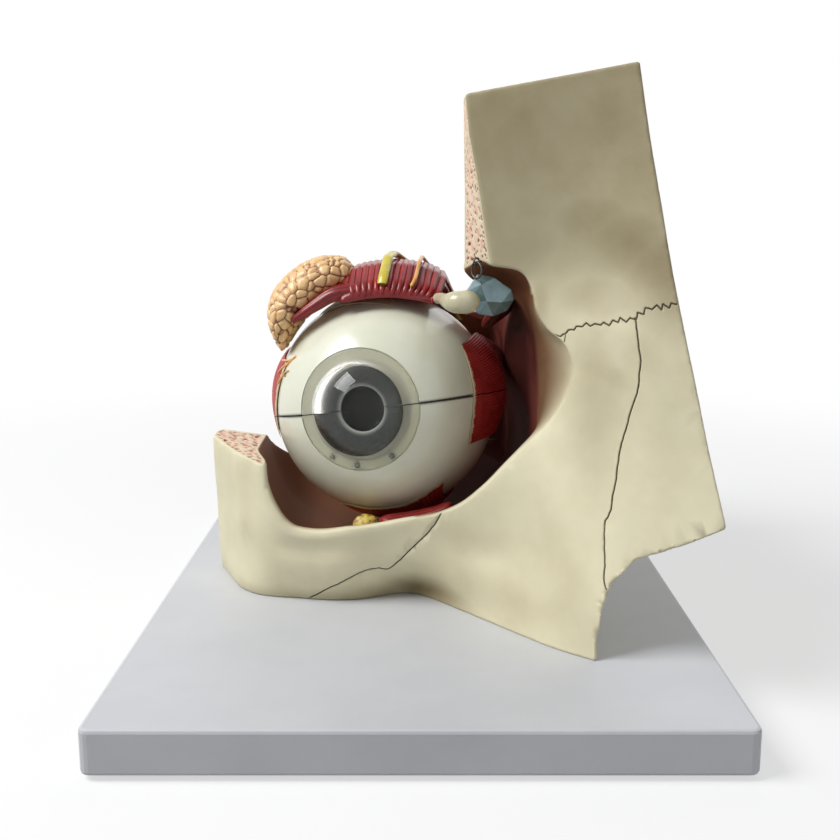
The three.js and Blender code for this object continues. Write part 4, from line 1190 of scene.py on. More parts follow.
    def orbit(self, x: np.ndarray, y: np.ndarray, z: np.ndarray) -> np.ndarray:
        """Returns how far a point lies outside the orbit's hollow, negative inside it.

        Args:
            x: Places across.
            y: Depths.
            z: Heights.

        Returns:
            The field at each point.
        """
        back = np.clip((y - 15) / (self.bone_back - 21), 0, 1) ** 1.8
        cx = self.centre[0] + (self.canal[0] - self.centre[0]) * back
        cz = self.centre[1] + (self.canal[1] - self.centre[1]) * back
        angle = np.arctan2(z - cz, x - cx)
        mouth = self._radius(self.mouth, angle)
        rim = np.interp(angle, *self._rim_table)
        inward = np.clip((y - rim - 2) / 19, 0, 1)
        inward = inward * inward * (3 - 2 * inward)
        wide = mouth + (self._radius(self.room, angle) - mouth) * inward
        radius = wide + (self.canal[2] - wide) * back
        return np.hypot(x - cx, z - cz) - radius

    @staticmethod
    def _within(*limits: np.ndarray) -> np.ndarray:
        """Returns a field that is negative where all limits are."""
        return reduce(np.maximum, limits)

    @staticmethod
    def _ellipsoid(place: Sequence[np.ndarray], centre: Triple, radii: Triple, reach: float) -> np.ndarray:
        """Returns a field that is negative inside an ellipsoid.

        Args:
            place: The points' x, y and z.
            centre: Its centre.
            radii: Its three radii.
            reach: The field's fall to the centre.

        Returns:
            The field at each point.
        """
        a, b, c = (((p - at) / radius) ** 2 for p, at, radius in zip(place, centre, radii))
        return (np.sqrt(a + b + c) - 1) * reach

    @staticmethod
    def _plane(place: Sequence[np.ndarray], point: Triple, slope: Triple) -> np.ndarray:
        """Returns a field that rises by the slopes from a point."""
        a, b, c = ((p - at) * rise for p, at, rise in zip(place, point, slope))
        return a + b + c

    def fields(self, x: np.ndarray, y: np.ndarray, z: np.ndarray) -> dict[str, np.ndarray]:
        """Returns one distance-like field for each surface, positive on its empty side.

        Args:
            x: Places across.
            y: Depths.
            z: Heights.

        Returns:
            The field of each named surface. solid blends them in this order.
        """
        within, place = self._within, (x, y, z)
        step = 0.5
        height = self.face(x, z)
        slope = np.hypot(self.face(x + step, z) - height, self.face(x, z + step) - height) / step
        scale = 1 / np.sqrt(1 + slope**2)
        edge = np.array(self.plate_edge)
        share = (y - self.plate_front) / self.plate_thickness
        near, far = np.interp(z, edge[:, 2], edge[:, 0]), np.interp(z, edge[:, 2], edge[:, 1])
        front, back, foot = self.plate_reach
        top_x, top_z, top_slope = self.top_cut
        stub = -self._plane(place, self.stub_point, self.stub_slope) / math.hypot(1, self.stub_slope[0])
        rear = -self._plane(place, self.rear_point, self.rear_slope)
        kept = {
            "front": (self.relief(x, z) + height - y) * scale,
            "plan": self._polygon(self.plan, x, y),
            "bottom": self.board_top - z,
        }
        cut = {
            "orbit": self.orbit(x, y, z),
            "nook": self._ellipsoid(place, *self.nook),
            "plate_left": within(x - (near + (far - near) * share), front - y, y - back, foot - z),
            "stub": within(stub, x - self.stub_reach[0], y - self.stub_reach[1]),
            "rear": within(rear, x - self.rear_reach[0], self.rear_reach[1] - y, y - self.rear_reach[2]),
            "side": within(self._polygon(self.side_cut, x, y), self.side_floor - z),
            "skull": within(self.brow_back - y, self.brow_floor - z),
            "apex_left": within(x - self.apex_left[0], self.apex_left[1] - y, self.apex_left[2] - z),
            "apex_top": within(x - self.apex_top[0], self.apex_top[1] - y, self.apex_top[2] - z),
            "midline": self._polygon(self.midline, x, z),
            "plate_top": (-(z - top_z) + top_slope * (x - top_x)) / math.hypot(1, top_slope),
            "behind_plate": within((height + self.plate_thickness - y) * scale, self.brow_floor - z),
            "inside_nose": within(
                (height + self.nasal_shell - y) * scale, self.nose_inner - x, z - self.nose_top
            ),
            "notch": within(self._polygon(self.notch, x, z), y - self.notch_back),
            "hollow": self._ellipsoid(place, *self.under),
        }
        return kept | {name: -value for name, value in cut.items()}

    def relief(self, x: np.ndarray, z: np.ndarray) -> np.ndarray:
        """Returns the shallow forms of the face at (x, z): a lip round the orbit and hollows beside it.

        Args:
            x: Places across.
            z: Heights.

        Returns:
            How far the face is moved back at each of them.
        """
        angle = np.arctan2(z - self.centre[1], x - self.centre[0])
        outside = np.hypot(x - self.centre[0], z - self.centre[1]) - self._radius(self.mouth, angle)
        low_left = np.clip((-(x + z * 0.35) + 14) / 40, 0, 1) * (z < 72)
        lip = -0.9 * np.exp(-(((outside - 2.6) / 2.4) ** 2)) + 0.8 * np.exp(-(((outside - 9) / 3.6) ** 2))
        total = lip * low_left
        for cx, cz, rx, rz, depth in self.hollows:
            total = total + depth * np.exp(-(((x - cx) / rx) ** 2 + ((z - cz) / rz) ** 2))
        return total

    def solid(self, x: np.ndarray, y: np.ndarray, z: np.ndarray) -> np.ndarray:
        """Returns the field of the finished bone, with its edges rounded.

        Args:
            x: Places across.
            y: Depths.
            z: Heights.

        Returns:
            The field, negative inside the bone.
        """
        total = np.full(np.broadcast_shapes(x.shape, y.shape, z.shape), -99.0)
        for other in self.fields(x, y, z).values():
            blend = np.maximum(self.edge_rounding - np.abs(total - other), 0)
            total = np.maximum(total, other) + blend * blend / (4 * self.edge_rounding)
        return total

    def _net(self) -> tuple[np.ndarray, np.ndarray]:
        """Finds the bone's surface on a regular grid, one point in each cell that it crosses.

        Returns:
            The surface's points and quads.
        """
        axes = [np.arange(low, high, self.cell) for low, high in self.extent]
        across, deep, high = axes
        grid = self.solid(across[:, None, None], deep[None, :, None], high[None, None, :]).astype(np.float32)
        inside = grid < 0
        ends = (slice(0, -1), slice(1, None))
        total = sum(inside[i, j, k].astype(np.int8) for i in ends for j in ends for k in ends)
        mixed = (total > 0) & (total < 8)
        number = np.full(mixed.shape, -1, np.int64)
        cells = np.argwhere(mixed)
        number[mixed] = np.arange(len(cells))
        place, weight = np.zeros((len(cells), 3)), np.zeros(len(cells))
        for axis in range(3):
            for a in (0, 1):
                for b in (0, 1):
                    low = np.insert([a, b], axis, 0)
                    first = cells + low
                    second = first.copy()
                    second[:, axis] += 1
                    va, vb = grid[tuple(first.T)], grid[tuple(second.T)]
                    crossed = (va < 0) != (vb < 0)
                    t = np.where(crossed, va / np.where(crossed, va - vb, 1), 0)
                    spot = first.astype(float)
                    spot[:, axis] += t
                    place += spot * crossed[:, None]
                    weight += crossed
        place /= weight[:, None]
        origin = np.array([axis[0] for axis in axes])
        points = origin + place * self.cell
        quads = []
        for axis in range(3):
            one, two = [k for k in range(3) if k != axis]
            lower = [slice(1, -1)] * 3
            lower[axis] = slice(0, -1)
            upper = list(lower)
            upper[axis] = slice(1, None)
            change = inside[tuple(lower)] != inside[tuple(upper)]
            at = np.argwhere(change)
            at[:, one] += 1
            at[:, two] += 1
            ring = []
            for da, db in ((-1, -1), (0, -1), (0, 0), (-1, 0)):
                cell = at.copy()
                cell[:, one] += da
                cell[:, two] += db
                ring.append(number[tuple(cell.T)])
            ring = np.stack(ring, axis=1)
            starts_inside = inside[tuple(lower)][change]
            flip = starts_inside if axis != 1 else ~starts_inside
            ring[~flip] = ring[~flip][:, ::-1]
            quads.append(ring)
        return points, np.vstack(quads)

    def settle(self, points: np.ndarray, rounds: int = 2) -> np.ndarray:
        """Moves points onto the true surface along its slope.

        Args:
            points: Points near the surface.
            rounds: Number of steps.

        Returns:
            The moved points.
        """
        step = 0.2
        for _ in range(rounds):
            value = self.solid(*points.T)
            ahead = [self.solid(*(points + step * axis).T) - value for axis in np.eye(3)]
            slope = np.stack(ahead, axis=1) / step
            size = np.maximum((slope**2).sum(1), 0.3)
            points = points - np.clip(value / size, -0.7, 0.7)[:, None] * slope
        return points

    def build(self) -> Piece:
        """Builds the bone, with lines and holes pressed into it.

        Returns:
            The finished object.
        """
        points, quads = self._net()
        points = self.settle(points)
        LOG.info("bone net: %d points", len(points))
        points, faces = self._refined(points, quads)
        points, attributes = self._details(points)
        piece = mesh_object("orbit_bone_surface", points, faces, [BONE], attributes)
        self._thinned(piece, attributes["airbrush"] > self.painted)
        LOG.info("bone thinned to %d faces", len(piece.data.polygons))
        return finish_piece(piece, "orbit_bone")

    def _thinned(self, piece: Piece, kept: np.ndarray) -> None:
        """Takes out the points that flat places don't need.

        Args:
            piece: The bone, which gets the thinner mesh.
            kept: Which of its points stay, because paint fades over them.
        """
        group = piece.vertex_groups.new(name="thin")
        group.add(np.flatnonzero(~kept).tolist(), 1.0, "REPLACE")
        group.add(np.flatnonzero(kept).tolist(), 0.4, "REPLACE")
        thin = piece.modifiers.new("thin", "DECIMATE")
        thin.ratio = self.kept_share
        thin.vertex_group = group.name
        thin.vertex_group_factor = 1.0
        plain(piece)
        piece.vertex_groups.clear()

    @staticmethod
    def _run(line: np.ndarray) -> np.ndarray:
        """Returns how far each point lies along a line."""
        return np.concatenate([[0], np.cumsum(np.linalg.norm(np.diff(line, axis=0), axis=1))])

    def _lines(self) -> np.ndarray:
        """Lays closely spaced points on all the suture lines.

        Returns:
            Rows of x, y, z and the line's thickness.
        """
        rng = np.random.default_rng(7)
        found = []
        for name, outline in self.sutures.items():
            flat = curve_points([(x, z, 0) for x, z in outline], 60 * len(outline))[:, :2]
            run = self._run(flat)
            side = np.gradient(flat, axis=0)[:, ::-1] * [-1, 1]
            side /= np.linalg.norm(side, axis=1, keepdims=True)
            wave = 0
            for length, size in ((1.3, 0.07), (4.1, 0.22)):
                knots = np.arange(0, run[-1] + length, length)
                wave = wave + np.interp(run, knots, rng.uniform(-size, size, len(knots)))
            if name == "frontal":
                knots = np.cumsum(rng.uniform(0.8, 1.7, int(run[-1] / 1.1)))
                teeth = rng.uniform(0.25, 0.95, len(knots)) * np.where(np.arange(len(knots)) % 2, 1, -1)
                fade = np.clip((run - 6) / 12, 0.12, 1)
                wave = wave + fade * np.interp(run, knots, teeth)
            flat = flat + side * np.asarray(wave)[:, None]
            thin = np.full(len(flat), 0.6 if name == "tear_bone" else 1.0)
            depth = self.face(flat[:, 0], flat[:, 1]) + self.relief(flat[:, 0], flat[:, 1])
            found.append(np.column_stack([flat[:, 0], depth, flat[:, 1], thin]))
        return np.vstack(found)

    def _zones(self, points: np.ndarray) -> tuple[dict[str, np.ndarray], np.ndarray]:
        """Finds which surface each point lies on.

        Args:
            points: Points on the bone.

        Returns:
            The share of each surface at each point, from 0 to 1, and the distance to the next edge.
        """
        found = self.fields(*points.T)
        values = np.array(list(found.values()))
        second = np.sort(values, axis=0)[-2]
        shares = {name: np.clip(1.5 - (values.max(0) - value) / 0.4, 0, 1) for name, value in found.items()}
        return shares, -second

    def _refined(self, points: np.ndarray, quads: np.ndarray) -> tuple[np.ndarray, list[list[int]]]:
        """Splits the faces near the suture lines and on the spongy cuts.

        Args:
            points: The net's points.
            quads: Its faces.

        Returns:
            The finer points and faces.
        """
        work = bmesh.new()
        verts = [work.verts.new(p) for p in points]
        for quad in quads:
            work.faces.new([verts[k] for k in quad])
        work.verts.ensure_lookup_table()
        lines = self._lines()
        for level, reach in enumerate((1.9, 1.2, 0.75)):
            spots = np.array([v.co[:] for v in work.verts])
            near = self._line_distance(spots, lines)[0] < reach
            shares, border = self._zones(spots)
            if level < 2:
                near |= (shares["plate_left"] > 0.5) & (spots[:, 2] > 118)
                near |= (shares["stub"] > 0.5) & (spots[:, 1] < 16)
            if level == 0:
                near |= border < 1.5
                near |= (shares["rear"] > 0.5) | (shares["side"] > 0.5) | (shares["skull"] > 0.5)
            edges = [e for e in work.edges if near[e.verts[0].index] and near[e.verts[1].index]]
            bmesh.ops.subdivide_edges(work, edges=edges, cuts=1, use_grid_fill=True)
            work.verts.ensure_lookup_table()
            work.verts.index_update()
        spots = np.array([v.co[:] for v in work.verts])
        faces = [[v.index for v in f.verts] for f in work.faces]
        work.free()
        return self.settle(spots, 1), faces

    @staticmethod
    def _line_distance(spots: np.ndarray, lines: np.ndarray) -> tuple[np.ndarray, np.ndarray]:
        """Returns each spot's distance to the lines, and the nearest line's thickness.

        Args:
            spots: Points on the bone.
            lines: Rows of x, y, z and thickness.

        Returns:
            The distance and the thickness at each spot.
        """
        tree = KDTree(len(lines))
        for k, row in enumerate(lines):
            tree.insert(row[:3], k)
        tree.balance()
        low, high = lines[:, :3].min(0) - 3, lines[:, :3].max(0) + 3
        distance, thin = np.full(len(spots), 99.0), np.ones(len(spots))
        for k in np.flatnonzero(((spots > low) & (spots < high)).all(1)):
            _, index, found = tree.find(spots[k])
            distance[k], thin[k] = found, lines[index, 3]
        return distance, thin

    def _pits(self, spots: np.ndarray, mask: np.ndarray) -> np.ndarray:
        """Returns 0 to 1 where a marrow hole lies, over the masked spots.

        Args:
            spots: Points on the bone.
            mask: How much each of them is spongy, from 0 to 1.

        Returns:
            The share of a hole at each spot.
        """
        rng = np.random.default_rng(11)
        chosen = np.flatnonzero(mask > 0.6)
        order = rng.permutation(chosen)
        pits, taken = [], set()
        for k in order:
            key = tuple(np.floor(spots[k] / (1.9 if spots[k][2] < 100 else 1.5)).astype(int))
            near = (0, 1, -1)
            around = [(key[0] + a, key[1] + b, key[2] + c) for a in near for b in near for c in near]
            if key in taken or sum(c in taken for c in around) > 3:
                continue
            taken.add(key)
            pits.append(spots[k])
        pits = np.array(pits)
        size = rng.uniform(0.42, 0.8, len(pits)) * np.where(pits[:, 2] < 100, 1.3, 0.72)
        lean = rng.uniform(0.3, 1.0, len(pits))
        tree = KDTree(len(pits))
        for k, row in enumerate(pits):
            tree.insert(row, k)
        tree.balance()
        value = np.zeros(len(spots))
        grain = np.array([0.35, 0.45, 0.82])
        for k in np.flatnonzero(mask > 0.05):
            for _, index, _ in tree.find_n(spots[k], 3):
                d = spots[k] - pits[index]
                along = d @ grain * lean[index]
                stretched = math.sqrt(max(d @ d - 0.72 * along * along, 0))
                value[k] = max(value[k], 1 - stretched / size[index])
        return np.clip(value * 2.6, 0, 1) * np.clip(mask * 2 - 0.4, 0, 1)

    def _details(self, points: np.ndarray) -> tuple[np.ndarray, dict[str, np.ndarray]]:
        """Presses lines and holes into the surface and paints its zones.

        Args:
            points: Points on the bone.

        Returns:
            The moved points, and the numbers that the bone's material reads.
        """
        shares, border = self._zones(points)
        x, y, z = points.T
        front = shares["front"]
        inset = np.clip((border - 0.9) / 0.9, 0, 1)
        spongy = ("plate_left", "stub", "rear", "skull", "apex_left", "apex_top")
        cut = np.maximum.reduce([shares[name] for name in spongy])
        side = shares["side"] * (x < 20)
        marrow = np.maximum(cut, side) * inset
        pit = self._pits(points, marrow)
        distance, thin = self._line_distance(points, self._lines())
        groove = np.clip(1.25 - distance / (0.25 * thin), 0, 1) * front
        moved = np.stack([self.solid(*(points + 0.1 * axis).T) for axis in np.eye(3)], axis=1)
        step = moved - self.solid(x, y, z)[:, None]
        normal = step / np.maximum(np.linalg.norm(step, axis=1, keepdims=True), 1e-9)
        suture = np.clip(groove * 1.5, 0, 1)
        points = points - normal * (self.groove_depth * suture + self.pit_depth * pit)[:, None]
        angle = np.arctan2(z - self.centre[1], x - self.centre[0])
        rim = np.interp(angle, *self._rim_table)
        tear_bone = np.interp(np.degrees(angle), *np.array(self.tear_hollow).T)
        inside = np.maximum.reduce([shares["orbit"], shares["nook"], shares["side"] * (x >= 20)])
        depth = y - rim - tear_bone
        inner = inside * np.clip(depth / (2.5 + 0.25 * tear_bone), 0, 1)
        deep = np.clip((x + 6) / 34, 0, 1) * 0.85 + np.clip((y + 10) / 60, 0, 1) * 0.5
        # Airbrushed dust and painted shade: darker up the plate, with painted shadow in the cheek's hollow
        # and along its foot.
        brush_and_shade = 0.66 * np.clip((z - 96) / 66, 0, 1) ** 0.8
        for cx, cz, rx, rz, amount in self.airbrush:
            spot = amount * np.exp(-(((x - cx) / rx) ** 2 + ((z - cz) / rz) ** 2))
            brush_and_shade = np.maximum(brush_and_shade, 0.35 * brush_and_shade + spot)
        brush_and_shade = np.clip(brush_and_shade, 0, 1) * np.clip(front + 0.35, 0, 1)
        # The lacrimal fossa: its own brown paint and painted shade where the ball and muscles shadow it.
        fossa = inside * np.clip((y - rim) / np.maximum(tear_bone, 2.0), 0, 1) * (tear_bone > 3)
        inner = np.maximum(inner, 0.58 * fossa)
        deep = deep * (1 - 0.55 * np.clip((z - 102) / 16, 0, 1))
        return points, {
            "marrow": marrow,
            "pit": pit,
            "suture": suture,
            "inner": np.clip(inner, 0, 1),
            "deep": np.clip(deep, 0, 1),
            "airbrush": np.maximum(brush_and_shade, fossa),
        }


# Ball


@dataclass
class Turned:
    """A profile turned round the gaze axis, whole or as one side of the seam."""

    name: str
    profile: list[tuple[float, float]]
    finishes: list[Finish]
    segments: int = 96
    edge: float = 0.25

    def build(
        self, side: Side | None = None, slots: Callable[[float, float], int] | None = None
    ) -> Piece:
        """Turns the profile.

        Args:
            side: The side of the seam to keep, or None for the whole.
            slots: Gives a face's material slot from its radius and its place along the gaze.

        Returns:
            The object, in the CAD's frame.
        """
        rows = np.array(self.profile, float)
        if side is None:
            turns = np.linspace(0, 2 * math.pi, self.segments, endpoint=False)
        else:
            start = 0 if side is Side.UPPER else math.pi
            near = np.array([0, 0.45, 1.0, 1.8]) / BALL
            turns = start + np.concatenate(
                [near, np.linspace(0, math.pi, self.segments + 1)[3:-3], math.pi - near[::-1]]
            )
        radius, along = rows[:, 0], rows[:, 1]
        points = np.stack(
            [
                radius[None] * np.cos(turns)[:, None],
                np.broadcast_to(-along, (len(turns), len(rows))),
                radius[None] * np.sin(turns)[:, None],
            ],
            axis=-1,
        )
        if side is not None:
            limit = side.value * SEAM / 2
            height = points[..., 2]
            points[..., 2] = np.maximum(height, limit) if side is Side.UPPER else np.minimum(height, limit)
        count, width = len(turns), len(rows)
        ids = np.arange(count * width).reshape(count, width)
        closed_profile = bool(radius[0] > 1e-6 and radius[-1] > 1e-6)
        after = np.roll(ids, -1, axis=1) if closed_profile else ids[:, 1:]
        now = ids if closed_profile else ids[:, :-1]
        if side is None:
            corners = [now, np.roll(now, -1, 0), np.roll(after, -1, 0), after]
        else:
            corners = [now[:-1], now[1:], after[1:], after[:-1]]
        faces = np.stack(corners, axis=-1).reshape(-1, 4).tolist()
        if side is not None:
            if closed_profile:
                faces += [ids[0].tolist(), ids[-1][::-1].tolist()]
            else:
                faces.append([*ids[0].tolist(), *ids[-1][::-1].tolist()])
        piece = mesh_object(self.name, points.reshape(-1, 3), faces, self.finishes)
        outward(piece)
        if slots:
            for polygon in piece.data.polygons:
                centre = np.array(polygon.center) / METRES
                polygon.material_index = slots(math.hypot(centre[0], centre[2]), -centre[1])
        flat = np.empty(len(piece.data.vertices) * 3)
        piece.data.vertices.foreach_get("co", flat)
        moved = in_eye(flat.reshape(-1, 3) / METRES) * METRES
        piece.data.vertices.foreach_set("co", moved.ravel())
        piece.data.update()
        if self.edge:
            bevelled(piece, self.edge)
        return piece


def sweep(radius: float, start: float, end: float, steps: int) -> list[tuple[float, float]]:
    """Returns an arc round the ball's centre between two places along the gaze.

    Args:
        radius: Radius of the arc.
        start: Place along the gaze where it starts.
        end: Place where it ends.
        steps: Number of chords.

    Returns:
        Pairs of radius from the gaze axis and place along it.
    """
    angles = np.linspace(math.acos(start / radius), math.acos(end / radius), steps + 1)
    return [(radius * math.sin(a), radius * math.cos(a)) for a in angles]


def dome(
    radius: float, centre: float, first: float, last: float, steps: int, sign: float = 1.0
) -> list[tuple[float, float]]:
    """Returns an arc between two distances from the gaze axis.

    Args:
        radius: Radius of the arc.
        centre: Place of its centre along the gaze.
        first: Distance from the axis where it starts.
        last: Distance where it ends.
        steps: Number of chords.
        sign: 1 for a front face, -1 for a rear one.

    Returns:
        Pairs of radius from the gaze axis and place along it.
    """
    angles = np.linspace(math.asin(first / radius), math.asin(last / radius), steps + 1)
    return [(radius * math.sin(a), centre + sign * radius * math.cos(a)) for a in angles]


@dataclass
class EyeBall:
    """White shell, cornea, iris, choroid, lens and vitreous body."""

    wall: float = 3.6
    window: float = 17.6
    seat: float = 33.0
    flange: float = 20.6
    flange_thickness: float = 1.4
    dome_base: float = 15.6
    dome_height: float = 44.1
    dome_wall: float = 0.8
    choroid: float = 35.6
    choroid_wall: float = 2.2
    ring: tuple[float, float, float, float] = (19.0, 29.8, 13.0, 27.0)
    pupil: float = 7.7
    iris: float = 17.1
    iris_plane: float = 30.2
    iris_thickness: float = 1.5
    lens: tuple[float, float, float, float, float] = (12.6, 29.1, 24.9, 19.1, 1.2)
    vitreous: float = 32.5
    vitreous_flat: float = 18.7
    pin_angles: tuple[float, ...] = (-38.0, -10.0, 29.0)
    pin_circle: float = 19.0
    pin_radius: float = 0.8
    dowel_angles: tuple[float, ...] = (-112.0, -62.0, 62.0, 112.0)
    dowel: tuple[float, float] = (1.0, 2.5)
    dowel_hole: tuple[float, float] = (1.35, 3.2)
    pin_start: float = 31.7
    pin_hole_start: float = 31.35
    shell_pin_hole: float = 1.15
    flange_pin_hole: float = 0.95

    def build(self) -> None:
        """Builds all pieces of the ball."""
        self.shells()
        self.cornea()
        self.inside()
        self.trim()

    def shells(self) -> None:
        """Builds the two halves of the white shell."""
        inner = BALL - self.wall
        seat = self.flange + FIT
        profile = [
            *sweep(BALL, -BALL, math.sqrt(BALL**2 - seat**2), 60),
            (seat, self.seat),
            (self.window, self.seat),
            *sweep(inner, math.sqrt(inner**2 - self.window**2), -inner, 40),
        ]
        for side, node in ((Side.UPPER, "sclera_upper"), (Side.LOWER, "sclera_lower")):
            piece = Turned(f"{node}_shell", profile, [IVORY], edge=0.0).build(side)
            radius, depth = self.dowel_hole
            tools = [self.rod("dowel_room", spot, (0, 0, 1), radius, -depth, depth) for spot in self.dowels()]
            if side is Side.LOWER:
                tools += self.pin_rooms(self.shell_pin_hole)
            carve(piece, tools)
            # Painted shade along the seam.
            self._paint(piece, "dirt", self._seam_dirt)
            bevelled(piece, 0.34, angle=50)
            finish_piece(piece, node)

    @staticmethod
    def _seam_dirt(own: np.ndarray) -> np.ndarray:
        """Returns the painted shade at points of the ball's frame, held along the outer seam."""
        outer = np.linalg.norm(own, axis=1) > BALL - 0.7
        return np.clip(1.25 - (np.abs(own[:, 2]) - SEAM / 2) / 0.5, 0, 1) * outer

    def pins(self) -> list[tuple[float, float]]:
        """Returns the places of the flange's pins."""
        turns = [math.radians(a) for a in self.pin_angles]
        return [(self.pin_circle * math.sin(a), -self.pin_circle * math.cos(a)) for a in turns]

    def dowels(self) -> list[Triple]:
        """Places the seam's dowels in the middle of the wall.

        Returns:
            A point for each dowel, in the ball's frame.
        """
        reach = BALL - self.wall / 2
        turns = [math.radians(a) for a in self.dowel_angles]
        return [(reach * math.sin(a), reach * math.cos(a), 0.0) for a in turns]

    def pin_rooms(self, radius: float) -> list[Piece]:
        """Returns tools that drill the holes of the flange's pins."""
        start = self.pin_hole_start
        return [self.rod("pin_room", (x, 0.0, z), (0, -1, 0), radius, start, 50) for x, z in self.pins()]

    @staticmethod
    def rod(
        name: str, spot: Triple, way: Triple, radius: float, start: float, end: float, sides: int = 20
    ) -> Piece:
        """Makes a plain round tool in the ball's frame, along a way from a spot.

        Args:
            name: The piece's name.
            spot: A point of its axis.
            way: The axis's direction.
            radius: Its radius.
            start: Where it starts along the way.
            end: Where it ends.
            sides: Sides of its section.

        Returns:
            The closed object.
        """
        turns = np.linspace(0, 2 * math.pi, sides, endpoint=False)
        axis = np.array(way, float)
        first = np.cross(axis, [1.0, 0.3, 0.2])
        first /= np.linalg.norm(first)
        second = np.cross(axis, first)
        ring = radius * (np.cos(turns)[:, None] * first + np.sin(turns)[:, None] * second) + np.array(spot)
        rings = np.stack([ring + axis * start, ring + axis * end])
        points, faces = loft(in_eye(rings))
        return outward(mesh_object(name, points, faces, [STEEL]))

    def cornea(self) -> None:
        """Builds the clear halves with their frosted flange."""
        base = self.seat + self.flange_thickness
        rise = self.dome_height - (base + 2.2)
        outer = (self.dome_base**2 + rise**2) / (2 * rise)
        centre = self.dome_height - outer
        inner = outer - self.dome_wall
        back = self.seat + FIT
        hole = math.sqrt(inner**2 - (back - centre) ** 2)
        profile = [
            *dome(inner, centre, 0, hole, 24),
            (self.flange - 0.25, back),
            (self.flange, back + 0.25),
            (self.flange, base - 0.45),
            (self.flange - 0.15, base - 0.13),
            (self.flange - 0.45, base),
            (self.dome_base + 1.5, base + 0.25),
            (self.dome_base + 0.6, base + 0.9),
            *dome(outer, centre, self.dome_base, 0, 30),
        ]
        for side, node in ((Side.UPPER, "cornea_upper"), (Side.LOWER, "cornea_lower")):
            piece = Turned(f"{node}_dome", profile, [CLEAR, FROST], edge=0.0).build(
                side, lambda radius, along: int(radius > self.dome_base + 0.2 or along < base + 1.4)
            )
            if side is Side.LOWER:
                carve(piece, self.pin_rooms(self.flange_pin_hole))
            finish_piece(piece, node)

    def inside(self) -> None:
        """Builds the iris, choroid, lens and vitreous body."""
        plane, top = self.iris_plane, self.iris_plane + self.iris_thickness
        iris = [
            (self.pupil, plane + 0.6), (self.pupil + 0.8, plane), (self.iris, plane), (self.iris, top + 0.7),
            (self.iris - 0.5, top + 1.0), (self.iris - 1.8, top + 0.85), (self.pupil + 4.2, top + 0.4),
            (self.pupil + 3.4, top + 0.5), (self.pupil + 1.6, top + 0.2), (self.pupil + 0.7, top + 0.15),
            (self.pupil + 0.1, top - 0.2),
        ]
        outer, front, hole, back = self.ring
        inner = self.choroid - self.choroid_wall
        choroid = [
            *sweep(self.choroid, -self.choroid, math.sqrt(self.choroid**2 - outer**2), 40),
            (outer, front), (hole, front), (hole, back),
            *sweep(inner, back - 5.5, -inner, 30),
        ]
        for side, tag in ((Side.UPPER, "upper"), (Side.LOWER, "lower")):
            disc = Turned(f"iris_{tag}_disc", iris, [IRIS], edge=0.0).build(side)
            # ring: painted highlight at the pupil's edge.
            self._paint(disc, "ring", self._pupil_highlight_share)
            self._paint(disc, "turn", lambda own: np.arctan2(own[:, 2], own[:, 0]))
            self._paint(disc, "reach", self._reach)
            finish_piece(disc, f"iris_{tag}")
            shell = Turned(f"choroid_{tag}_shell", choroid, [CHOROID], segments=80, edge=0.2).build(side)
            finish_piece(shell, f"choroid_{tag}")
        radius, tip, rim, tail, edge = self.lens
        lens = [*self._cap(radius, rim - edge / 2, tail), *reversed(self._cap(radius, rim + edge / 2, tip))]
        finish_piece(Turned("lens_body_glass", lens, [LENS], edge=0.15).build(), "lens")
        jelly = [*sweep(self.vitreous, -self.vitreous, self.vitreous_flat, 40), (0.0, self.vitreous_flat)]
        piece = Turned("vitreous_body_glass", jelly, [JELLY], edge=0.3).build()
        finish_piece(piece, "vitreous_body")

    def _pupil_highlight_share(self, own: np.ndarray) -> np.ndarray:
        """Returns the share of the pale ring, a painted highlight on the pupil's edge, at points of the
        ball's frame.
        """
        return np.exp(-(((self._reach(own) - self.pupil - 0.2) / 0.5) ** 2))

    @staticmethod
    def _reach(own: np.ndarray) -> np.ndarray:
        """Returns the distance of points from the gaze axis."""
        return np.hypot(own[:, 0], own[:, 2])

    @staticmethod
    def _cap(rim: float, along: float, tip: float) -> list[tuple[float, float]]:
        """Returns one face of the lens.

        Args:
            rim: Radius of the lens.
            along: Place of the face's rim along the gaze.
            tip: Place of its middle.

        Returns:
            Its profile from the axis to the rim.
        """
        height = tip - along
        radius = (rim**2 + height**2) / (2 * abs(height))
        sign = math.copysign(1.0, height)
        return dome(radius, tip - sign * radius, 0, rim, 20, sign)

    @staticmethod
    def _paint(piece: Piece, name: str, rule: Callable[[np.ndarray], np.ndarray]) -> None:
        """Keeps a number at each point, worked out from its place in the ball's frame.

        Args:
            piece: A piece of the ball.
            name: The attribute's name.
            rule: Gives the numbers of points in the ball's frame.
        """
        flat = np.empty(len(piece.data.vertices) * 3)
        piece.data.vertices.foreach_get("co", flat)
        own = (flat.reshape(-1, 3) / METRES - EYE) @ EYE_TURN
        kept = piece.data.attributes.new(name, "FLOAT", "POINT")
        kept.data.foreach_set("value", rule(own).astype(np.float32))

    def trim(self) -> None:
        """Builds the pins of the flange and the dowels of the seam."""
        for i, (x, z) in enumerate(self.pins(), 1):
            node = f"cornea_pin_{i}"
            front = self.seat + self.flange_thickness + 0.6
            piece = self.rod(
                f"{node}_round", (x, 0.0, z), (0, -1, 0), self.pin_radius, self.pin_start, front
            )
            piece.data.materials[0] = material_of(PIN)
            finish_piece(bevelled(piece, 0.25), node)
        radius, reach = self.dowel
        for i, spot in enumerate(self.dowels(), 1):
            node = f"seam_dowel_{i}"
            piece = self.rod(f"{node}_round", spot, (0, 0, 1), radius, -reach, reach)
            finish_piece(bevelled(piece, 0.25), node)


# Muscles


